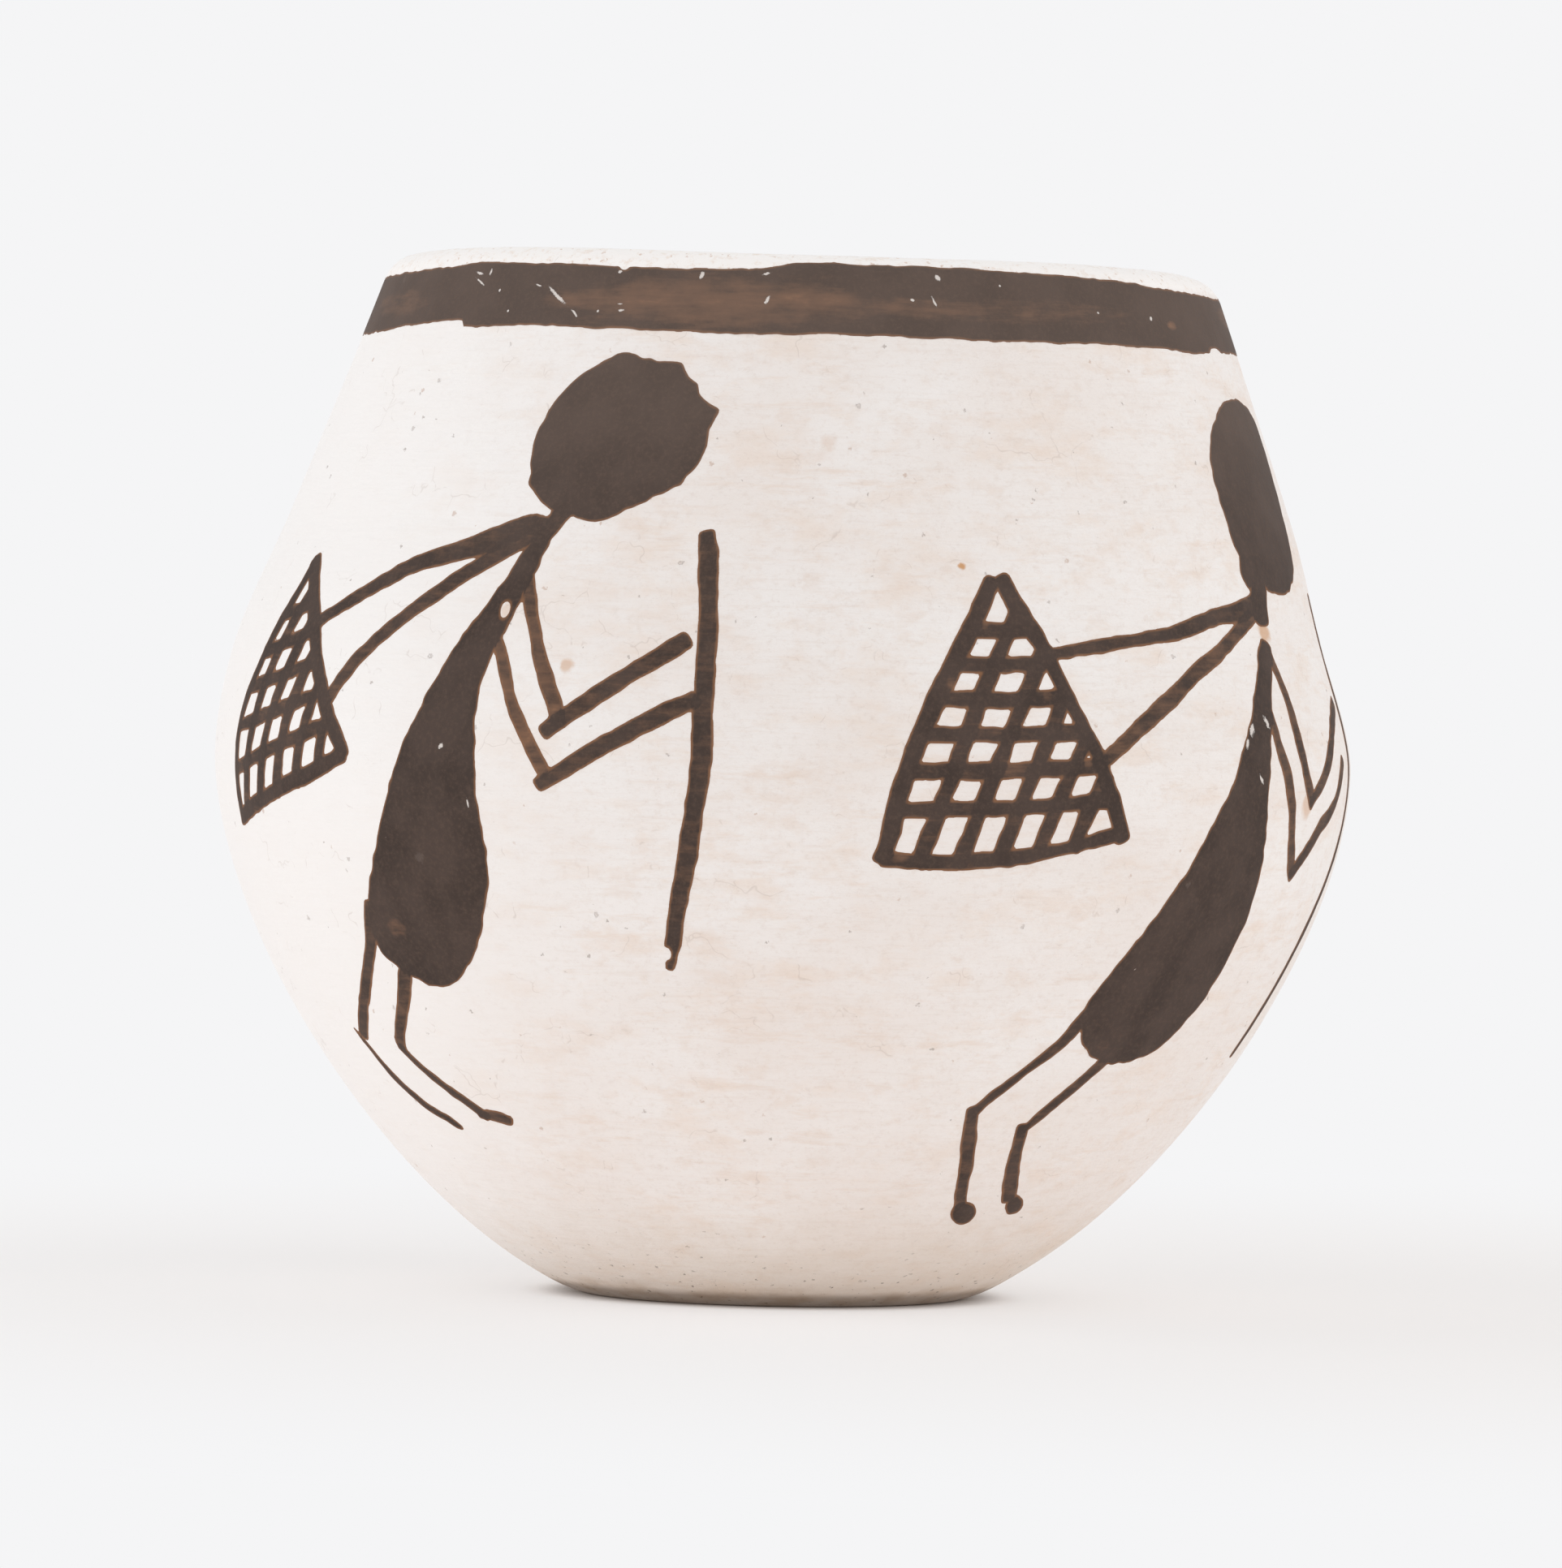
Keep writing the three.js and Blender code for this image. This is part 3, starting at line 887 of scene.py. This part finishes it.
def paint_material():
    """Dark paint, brown where the load is thin and along its edges, with fine grain, scratches and chips, and
    a painted grey sheen towards the top.
    """
    material, wires, shader = material_wires("dark_paint")
    load, edge = (
        wires.node("ShaderNodeAttribute", attribute_name=name).outputs["Fac"] for name in ("load", "edge"))
    patches = grain_value(wires, 1.6, 1.4, 0.6)
    streaks = grain_value(wires, 2.6, 7.0, 0.6, 15.0)
    clouds = grain_value(wires, 4.5, 1.0, 0.6, 9.0)
    fine = grain_value(wires, 0.3, 1.0, 0.75)
    chips = speck_value(wires, 1.5, 0.1, 0.07)
    bloom = speck_value(wires, 3.2, 0.5, 0.14)
    swing = wires.plus(wires.times(patches, 0.9), wires.times(streaks, 0.9), -0.9)
    body = wires.math("SUBTRACT", load, swing)
    rim = wires.plus(edge, wires.times(patches, 0.16), -0.08)
    height = wires.parts(wires.place())[2]
    bared = scratched(wires, fine)
    colour = wires.layered(
        shade(67, 56, 51),
        (wires.smooth(clouds, 0.35, 0.65), shade(80, 67, 61)),
        (wires.smooth(fine, 0.42, 0.72, 0, 0.4), shade(104, 86, 76)),
        (wires.smooth(body, 0.25, 1.0, 0.75, 0), shade(131, 99, 79)),
        (wires.smooth(body, -0.1, 0.35, 0.7, 0), shade(168, 124, 94)),
        (wires.smooth(rim, 0.0, 0.2, 0.85, 0), shade(138, 98, 71)),
        # Painted sheen: the paint turns greyer and lighter towards the top, where it faces up into the light.
        (wires.smooth(height, 46 * METRE, 62 * METRE, 0, 0.32), shade(124, 108, 99)),
        (wires.times(bloom, 0.2), shade(132, 120, 112)),
        (wires.times(chips, 0.8), shade(204, 188, 176)),
        (wires.times(bared, 0.85), shade(232, 225, 220)))
    shader.inputs["Specular IOR Level"].default_value = 0.15
    roughness = wires.smooth(fine, 0.2, 0.8, 0.65, 0.85)
    bumps = (streaks, 0.03), (fine, 0.02), (chips, -0.03), (bared, -0.03)
    surfaced(wires, shader, colour, roughness, *bumps)
    return material


dark_paint = paint_material()


def painted(name, sheet, *nodes):
    """Lays a sheet of ink on the slip as a closed film."""
    film = grown(inked_mesh(name, sheet), film_tree, {"Pot": slip_coat, "Finish": dark_paint})
    smoothed(film, 50)
    on_root(film, "dark_paint", *nodes)


# The rim band
# A line brushed round below the lip while the pot was turned, in a few pulls of the brush. It starts
# and ends with a step, its edges wander, and its middle has worn brown and taken scratches.
# Each edge goes through these places, as across and height, once round the pot.
band_top = (
    (-52, 67.6), (-43, 67.8), (-37, 68.0), (-32, 68.3), (-22, 68.1), (-12, 67.9), (-4, 67.9), (-1, 68.3),
    (0.5, 68.4), (14, 68.3), (24, 68.1), (34, 67.8), (41, 67.4), (51, 67.2), (70, 67.5), (95, 68.0),
    (119, 67.9), (143, 68.1), (168, 67.7),
)
band_low = (
    (-51, 63.7), (-45, 63.9), (-40, 64.2), (-32.9, 64.45), (-32.5, 64.0), (-25, 64.1), (-16, 63.9),
    (-7, 63.7), (5, 63.7), (18, 63.6), (32, 63.6), (40, 63.35), (46, 63.5), (52, 63.5), (70, 63.7),
    (95, 64.0), (119, 63.8), (143, 63.6), (168, 63.8),
)
band_margin = 1.2                # how far its sheet reaches past its edges

sheet = Sheet(0, (-girth / 2, girth / 2), band_low[0][1] - band_margin, band_top[0][1] + band_margin)
top_edge = np.interp(sheet.across, *zip(*band_top), period=girth)
low_edge = np.interp(sheet.across, *zip(*band_low), period=girth)
sheet.lay(np.minimum(top_edge - sheet.height, sheet.height - low_edge) * sheet.tall, 1.4)
sheet.thin(
    (-8, 65.7, 18, 3.2, 0.6), (-10, 65.9, 7, 0.8, 0.35), (1, 66.0, 5, 0.8, 0.5), (-20, 65.7, 6, 0.8, 0.3),
    (11, 65.6, 5, 1.0, 0.4), (22, 65.6, 13, 1.8, 0.45), (-45, 65.6, 8, 1.8, 0.5),
    (38.2, 65.1, 0.9, 0.5, 0.85), (60, 66.0, 12, 1.8, 0.6), (100, 65.6, 9, 1.4, 0.6),
    (-80, 66.0, 16, 2.0, 0.6))
sheet.chip(-16.4, 67.9, 0.35, 0.22)
sheet.chip(46.0, 63.5, 1.1, 0.3)
painted("rim_band_paint", sheet, "rim_band")


# The walkers
# A file of four figures goes round the pot, each bent under a net basket on two straps and leaning on a
# staff. Two are drawn here stroke by stroke, and the two behind the pot repeat them half a turn on.
bar_sag = 0.12                   # of a basket's level bars
splint_bend = 0.045              # how far a splint bows to the left, as a share of its length


def part_way(line, share, width):
    """The point at this share of a line's length, with the width of the stroke that ends there."""
    line = np.array(line)
    run = np.insert(np.cumsum(np.hypot(*np.diff(line, axis=0).T)), 0, 0)
    return np.array([np.interp(share * run[-1], run, line[:, axis]) for axis in (0, 1)] + [width])


def basket(sheet, load, sides, widths, bars, splints):
    """A pointed basket: two sides and a foot, tied with level bars and with splints that lean left.

    Bars and splints each give their count and width, and the first place and the pitch of each end, as
    shares of the line that it ends on."""
    left, right, foot = (flowing(side) for side in sides)
    for side, width in zip(sides, widths):
        sheet.stroke(1.1, *((*point, width) for point in side))
    for line, (count, width, low_places, high_places), bow, sag in (
            (left, bars, 0, bar_sag), (foot, splints, splint_bend, 0)):
        for row in range(count):
            low = part_way(line, low_places[0] + low_places[1] * row, width)
            high = part_way(right, high_places[0] + high_places[1] * row, width)
            bend = bow * math.hypot(*(high - low)[:2])
            sheet.stroke(load, low, (low + high) / 2 - [bend, sag, 0], high)


def near_walker(sheet):
    """The walker at the left of the front, placed from the back of its head."""
    # Head and neck
    sheet.blot(
        (6.2, 62.3), (8.3, 61.9), (10.9, 61.8), (11.7, 61.6), (12.2, 60.8), (13.0, 60.4), (13.3, 59.8),
        (14.1, 59.2), (14.9, 58.8), (14.7, 58.2), (14.4, 57.5), (14.4, 56.4), (14.0, 55.5), (13.2, 54.5),
        (12.6, 53.8), (11.4, 53.2), (9.4, 52.4), (8.2, 51.8), (6.6, 51.4), (5.1, 51.6), (2.9, 52.1),
        (1.1, 53.1), (0.4, 53.8), (0.4, 54.5), (0.1, 55.1), (-0.1, 56.5), (0.2, 57.8), (0.9, 59.1),
        (2.5, 60.6), (4.1, 61.5))
    sheet.stroke(1.0, (4.4, 52.5, 1.5), (3.6, 51.6, 1.4), (2.9, 50.6, 1.4), (2.4, 49.6, 1.4))
    # Body
    sheet.blot(
        (3.5, 50.3), (3.3, 49.2), (2.9, 47.7), (2.2, 45.2), (1.2, 42.7), (0.5, 40.6), (0.4, 37.9),
        (0.5, 35.2), (0.8, 32.4), (1.0, 30.3), (0.8, 28.0), (-0.3, 25.2), (-2.0, 22.9), (-3.7, 21.6),
        (-5.7, 21.1), (-7.6, 21.5), (-9.8, 22.6), (-10.8, 23.7), (-10.3, 26.5), (-8.5, 30.0),
        (-6.6, 34.2), (-5.3, 37.3), (-3.6, 40.4), (-1.4, 44.1), (-0.2, 46.1), (0.9, 48.2), (1.7, 49.8),
        (2.5, 50.8))
    # Straps
    sheet.stroke(
        0.9, (2.5, 51.2, 1.06), (1.2, 51.1, 1.53), (-0.2, 50.5, 1.77), (-2.3, 49.8, 1.65),
        (-7.5, 48.5, 1.18), (-11.0, 47.0, 1.12), (-14.5, 45.4, 1.06), (-16.5, 44.5, 1.06))
    sheet.stroke(
        0.8, (1.9, 50.5, 1.18), (-0.3, 49.4, 1.42), (-3.7, 47.3, 1.24), (-7.6, 44.7, 1.18),
        (-10.7, 42.2, 1.18), (-13.2, 39.5, 1.12))
    # Arms
    sheet.stroke(
        0.62, (2.4, 47.9, 0.9), (2.8, 47.0, 1.0), (4.1, 44.2, 0.95), (5.4, 41.2, 1.0), (6.1, 39.7, 1.0),
        (6.4, 38.7, 1.0))
    sheet.stroke(
        0.85, (5.6, 38.0, 1.15), (6.6, 38.7, 1.25), (8.2, 39.7, 1.25), (10.9, 41.5, 1.3),
        (13.0, 42.7, 1.3), (14.7, 43.8, 1.25))
    sheet.stroke(
        0.55, (0.8, 44.2, 0.8), (1.7, 43.0, 0.9), (2.9, 40.0, 0.95), (4.4, 37.2, 1.0), (5.5, 35.4, 1.1))
    sheet.stroke(
        0.85, (5.3, 34.6, 1.2), (6.4, 35.2, 1.25), (8.3, 36.4, 1.25), (11.0, 37.9, 1.3),
        (13.1, 39.0, 1.3), (15.5, 40.1, 1.25))
    # Staff
    sheet.stroke(
        0.9, (15.2, 50.6, 1.15), (15.6, 49.1, 1.35), (16.0, 47.0, 1.4), (16.4, 44.0, 1.35),
        (16.2, 39.9, 1.35), (16.0, 35.8, 1.3), (15.2, 30.5, 1.25), (14.6, 27.9, 1.25), (14.2, 26.1, 1.2),
        (13.9, 24.4, 1.1), (13.6, 23.0, 0.7))
    # Legs
    sheet.stroke(
        0.9, (-10.3, 26.2, 1.05), (-11.4, 23.9, 1.1), (-13.2, 21.8, 1.1), (-15.5, 19.6, 1.1),
        (-17.8, 17.6, 1.0))
    sheet.stroke(
        1.0, (-18.9, 17.9, 0.35), (-18.2, 17.0, 0.6), (-16.7, 14.9, 0.65), (-15.2, 13.7, 0.65),
        (-13.7, 12.8, 0.7), (-12.2, 12.3, 0.8), (-11.3, 11.9, 0.7), (-10.8, 11.7, 0.3))
    sheet.stroke(
        0.75, (-8.5, 22.3, 1.2), (-9.9, 20.3, 1.15), (-11.6, 18.6, 1.1), (-12.8, 17.4, 1.0),
        (-13.0, 16.9, 0.9))
    sheet.stroke(
        0.95, (-13.1, 16.9, 0.7), (-11.7, 15.6, 0.75), (-9.8, 14.4, 0.8), (-7.8, 13.3, 0.85),
        (-6.6, 12.6, 0.9))
    sheet.stroke(0.75, (-7.1, 12.7, 0.8), (-5.2, 12.6, 0.95), (-4.1, 12.4, 0.95))
    # Basket
    basket(sheet, 0.9, (
        ((-20.3, 48.5), (-20.6, 47.6), (-21.3, 45.9), (-22.3, 44.0), (-23.4, 41.9), (-24.6, 39.9),
         (-25.5, 37.8), (-25.8, 35.5), (-25.8, 33.5), (-25.7, 31.4)),
        ((-20.3, 48.4), (-19.2, 47.2), (-17.5, 45.3), (-16.3, 43.9), (-15.3, 42.2), (-14.3, 40.7),
         (-13.5, 39.4), (-12.4, 38.0), (-11.5, 36.9), (-11.1, 36.2)),
        ((-25.2, 31.7), (-23.2, 32.3), (-19.9, 33.2), (-17.1, 34.0), (-14.8, 34.6), (-13.1, 35.2),
         (-11.1, 36.0)),
    ), (1.05, 1.35, 1.2), (5, 1.05, (0.206, 0.153), (0.228, 0.155)), (5, 1.2, (0.06, 0.19), (0.145, 0.165)))
    # Wear
    sheet.thin(
        (-8.1, 24.9, 1.6, 1.3, 0.62), (-6.2, 23.2, 1.4, 0.8, 0.35), (2.4, 40.5, 0.9, 0.9, 0.5),
        (4.1, 37.5, 0.8, 0.8, 0.6), (6.2, 39.4, 0.6, 0.6, 0.4), (-22.5, 32.0, 1.2, 0.6, 0.4))
    sheet.chip(1.4, 45.6, 0.34, 0.5)
    sheet.chip(13.4, 23.9, 0.3, 0.45)


def far_walker(sheet):
    """The walker at the right of the front, placed from the left corner of its basket."""
    basket(sheet, 0.95, (
        ((8.0, 48.0), (6.9, 45.8), (4.7, 42.2), (2.9, 39.3), (1.7, 36.9), (0.9, 34.5), (0.3, 31.5),
         (-0.1, 30.4)),
        ((8.9, 48.1), (9.7, 46.8), (11.7, 43.9), (13.1, 40.6), (14.4, 37.7), (15.6, 34.9), (17.0, 31.9)),
        ((0.2, 30.3), (3.8, 30.1), (6.7, 30.3), (9.3, 30.5), (11.6, 30.9), (14.4, 31.5), (16.9, 32.1)),
    ), (1.3, 1.25, 1.1), (6, 1.15, (0.172, 0.134), (0.204, 0.131)), (5, 1.2, (0.13, 0.1635), (0.118, 0.164)))
    # Head and neck
    sheet.blot(
        (40.1, 60.6), (43.3, 60.2), (46.2, 59.0), (46.5, 56.9), (45.8, 54.5), (44.7, 51.9), (43.9, 49.9),
        (42.9, 48.8), (40.4, 47.8), (38.0, 47.6), (36.2, 47.8), (35.2, 48.7), (33.2, 47.9), (32.2, 49.0),
        (32.4, 50.1), (31.9, 51.4), (31.7, 53.3), (31.6, 55.4), (32.3, 57.2), (33.7, 58.6), (36.7, 60.0))
    sheet.stroke(1.0, (35.0, 48.8, 2.0), (34.7, 48.0, 2.3), (34.3, 47.2, 2.3), (34.2, 46.3, 2.2))
    # Straps
    sheet.stroke(
        0.9, (34.0, 47.1, 1.2), (33.2, 47.0, 1.3), (30.7, 46.4, 1.4), (28.1, 46.1, 1.2),
        (26.0, 45.6, 1.1), (23.3, 45.0, 1.05), (20.1, 44.6, 1.0), (17.1, 44.2, 1.0), (12.4, 43.5, 1.0))
    sheet.stroke(
        0.75, (33.6, 46.6, 1.2), (30.1, 45.0, 1.2), (27.2, 43.6, 1.1), (24.5, 42.4, 1.05),
        (21.7, 40.8, 1.05), (18.6, 39.0, 1.05), (15.2, 36.7, 1.0))
    # Body
    sheet.blot(
        (33.7, 44.8), (33.0, 44.4), (32.0, 43.0), (30.9, 41.4), (29.4, 39.5), (28.2, 37.9), (27.0, 36.1),
        (25.5, 33.4), (23.3, 29.7), (21.2, 26.5), (19.4, 23.8), (17.9, 21.6), (17.5, 20.2), (18.3, 18.7),
        (20.2, 17.4), (22.6, 16.9), (25.0, 17.1), (27.0, 17.6), (28.5, 18.7), (29.9, 20.4), (30.8, 22.3),
        (31.4, 24.6), (31.7, 26.6), (31.6, 29.1), (31.3, 31.6), (30.8, 34.5), (31.3, 37.5), (32.5, 40.1),
        (33.5, 41.9), (34.3, 43.0), (34.8, 44.2))
    # Arms
    sheet.stroke(
        0.7, (34.0, 44.2, 0.9), (34.8, 42.0, 1.0), (35.2, 40.5, 1.05), (35.4, 38.1, 1.1),
        (36.0, 36.1, 1.1), (37.2, 34.3, 1.1))
    sheet.stroke(
        0.85, (37.2, 34.0, 1.0), (39.5, 35.7, 1.1), (41.2, 37.2, 1.1), (43.4, 39.1, 1.05),
        (46.0, 40.5, 1.0))
    sheet.stroke(
        0.7, (32.1, 39.8, 0.9), (32.4, 37.6, 1.0), (33.2, 35.9, 1.1), (34.2, 33.8, 1.1),
        (34.9, 31.6, 1.1), (36.1, 29.5, 1.0))
    sheet.stroke(
        0.85, (36.2, 29.3, 1.0), (38.1, 30.9, 1.1), (39.8, 32.4, 1.1), (41.4, 33.2, 1.1),
        (43.0, 34.4, 1.05), (44.5, 36.6, 1.0))
    # Staff
    sheet.stroke(
        0.9, (48.3, 47.4, 1.0), (48.5, 44.8, 1.1), (48.3, 41.4, 1.1), (47.9, 38.7, 1.1),
        (47.5, 33.5, 1.1), (46.7, 30.2, 1.1), (45.1, 26.1, 1.05), (44.2, 23.2, 1.0), (43.3, 19.6, 0.9),
        (42.7, 17.1, 0.6))
    # Legs
    sheet.stroke(
        0.95, (18.3, 20.6, 1.25), (17.6, 19.8, 1.2), (16.6, 18.4, 1.05), (14.9, 17.1, 0.95),
        (13.3, 15.9, 0.9), (11.7, 14.7, 0.9), (10.7, 13.7, 0.9))
    sheet.stroke(
        0.85, (10.5, 13.9, 1.0), (11.0, 12.6, 1.1), (11.4, 11.7, 1.15), (12.2, 10.1, 1.1),
        (13.0, 8.4, 1.05), (13.9, 7.4, 1.0))
    sheet.dab(14.9, 6.8, 1.3, 0.85, -52)
    sheet.stroke(
        0.85, (22.4, 17.8, 0.9), (20.0, 15.6, 0.85), (18.4, 14.2, 0.85), (16.9, 12.9, 0.8),
        (16.3, 12.4, 0.8))
    sheet.stroke(0.85, (16.3, 12.7, 0.95), (16.9, 11.1, 1.1), (18.1, 9.4, 1.15), (19.7, 7.8, 1.0))
    sheet.dab(21.2, 7.3, 1.15, 0.7, -48)
    # Wear
    sheet.thin(
        (7.4, 45.3, 0.5, 0.6, 0.6), (4.7, 41.6, 0.5, 0.6, 0.45), (11.5, 40.9, 0.5, 0.5, 0.4),
        (13.9, 36.6, 0.6, 0.6, 0.55), (1.2, 30.5, 0.9, 0.6, 0.45), (5.1, 30.0, 1.6, 0.5, 0.4),
        (8.8, 36.0, 1.6, 1.0, 0.3), (20.8, 18.2, 1.2, 0.8, 0.5))
    sheet.chip(36.6, 33.4, 0.3, 1.3, 20)


# Each with what draws it, where it starts and how far its sheet reaches from there
walkers = {
    "leading": (near_walker, -21.3, (-29, 19)),
    "following": (far_walker, 6.7, (-3, 54)),
}
walker_low = 4.6
walker_high = 63.4

for side, half_turn in (("front", 0), ("back", girth / 2)):
    for name, (draw, start, reach) in walkers.items():
        sheet = Sheet(start + half_turn, reach, walker_low, walker_high)
        draw(sheet)
        painted(f"{side}_{name}_walker", sheet)


# The floor and the light
# A pale seamless sheet of paper on a light table in a white room, with a wide, soft lamp on each side.
# Only a trace of the pot's shadow shows on the bright paper, and far off it is one even level.
paper_level = shade(245, 245, 246)
# The paper's warm tint is painted light: it stands for the glow bounced off the pot into its shadow.
paper_colour = shade(250, 245, 242)
table_glow = 0.15                # light that comes up through the paper
floor_reach = 6.0
shadow_kept = 0.46               # the share of the pot's shadow that shows away from its foot
shadow_middle = (0.025, 0, 0)    # it shows further out on the right than on the left
under_pot = (0.0125, 0.0175)     # from the edge of the foot, where it shows in full
horizon = (0.04, 0.16)           # to where none of it shows


def looked_at(wires):
    """One for what the camera sees straight, in a gloss or through glass, and none for light on the pot."""
    rays = wires.node("ShaderNodeLightPath").outputs
    beyond = wires.math("MAXIMUM", rays["Is Glossy Ray"], rays["Is Transmission Ray"])
    return wires.math("MAXIMUM", rays["Is Camera Ray"], beyond)


def paper_material():
    """Paper that is lit under the pot and shows its even level further off, and glows onto the pot."""
    material = bpy.data.materials.new("paper")
    material.use_nodes = True
    material.node_tree.nodes.clear()
    wires = Wires(material.node_tree)
    place = wires.place()
    near = wires.smooth(wires.apart(place), *under_pot, 0, 1 - shadow_kept)
    far = wires.smooth(wires.apart(place, shadow_middle), *horizon, 0, shadow_kept)
    even = wires.times(wires.plus(near, far), looked_at(wires))
    lit = wires.node("ShaderNodeBsdfDiffuse", paper_colour).outputs[0]
    flat = wires.node("ShaderNodeEmission", paper_level, 1.0).outputs[0]
    shown = wires.node("ShaderNodeMixShader", even, lit, flat).outputs[0]
    glow = wires.math("SUBTRACT", table_glow, wires.times(looked_at(wires), table_glow))
    from_below = wires.node("ShaderNodeEmission", (1, 1, 1, 1), glow).outputs[0]
    both = wires.node("ShaderNodeAddShader", shown, from_below).outputs[0]
    wires.node("ShaderNodeOutputMaterial", both)
    return material


corners = [(-1, -1), (1, -1), (1, 1), (-1, 1)]
paper_floor = mesh_object(
    "paper_floor", [(x * floor_reach, y * floor_reach, 0) for x, y in corners], [], [(0, 1, 2, 3)])
paper_floor.data.materials.append(paper_material())

room_level = 0.74
lamp_spread = 70                 # degrees across, as seen from the pot

# Each with its strength, its colour and the way that its light goes
lamps = {
    "left_lamp": (0.82, (1, 1, 1), Vector((0.95, 0.2, -0.17))),
    "right_lamp": (0.6, (1, 0.985, 0.95), Vector((-0.95, 0.22, -0.4))),
}

world = bpy.data.worlds.new("white_room")
bpy.context.scene.world = world
world.use_nodes = True
world.node_tree.nodes.clear()
wires = Wires(world.node_tree)
room = wires.node("ShaderNodeBackground", (1, 1, 1, 1), room_level).outputs[0]
backdrop = wires.node("ShaderNodeBackground", paper_level, 1.0).outputs[0]
both = wires.node("ShaderNodeMixShader", looked_at(wires), room, backdrop).outputs[0]
wires.node("ShaderNodeOutputWorld", both)

for name, (strength, tint, towards) in lamps.items():
    lamp = bpy.data.lights.new(name, "SUN")
    lamp.color = tint
    lamp.energy = strength
    lamp.angle = math.radians(lamp_spread)
    lamp_object = bpy.data.objects.new(name, lamp)
    lamp_object.rotation_euler = towards.to_track_quat("-Z", "Y").to_euler()
    bpy.context.scene.collection.objects.link(lamp_object)
bpy.context.scene.view_settings.view_transform = "Standard"


# The camera
# It stands a little above the middle of the pot and far off, with a long lens, and leans a little to
# one side, so that the pot looks turned by as much the other way.
camera_place = Vector((0, -700, 47.4))
camera_aim = Vector((-0.087, 0, 34.24))
camera_lean = 1.2                # degrees
camera_lens = 239.5              # on a sensor 36 mm along the longer side of the picture

camera_data = bpy.data.cameras.new("camera")
camera_data.sensor_width = 36
camera_data.lens = camera_lens
camera_data.clip_start = 0.01
camera_data.clip_end = 20
camera = bpy.data.objects.new("camera", camera_data)
aimed = (camera_aim - camera_place).to_track_quat("-Z", "Y").to_matrix().to_4x4()
lean = Matrix.Rotation(math.radians(camera_lean), 4, "Z")
camera.matrix_world = Matrix.Translation(camera_place * METRE) @ aimed @ lean
bpy.context.scene.collection.objects.link(camera)
bpy.context.scene.camera = camera
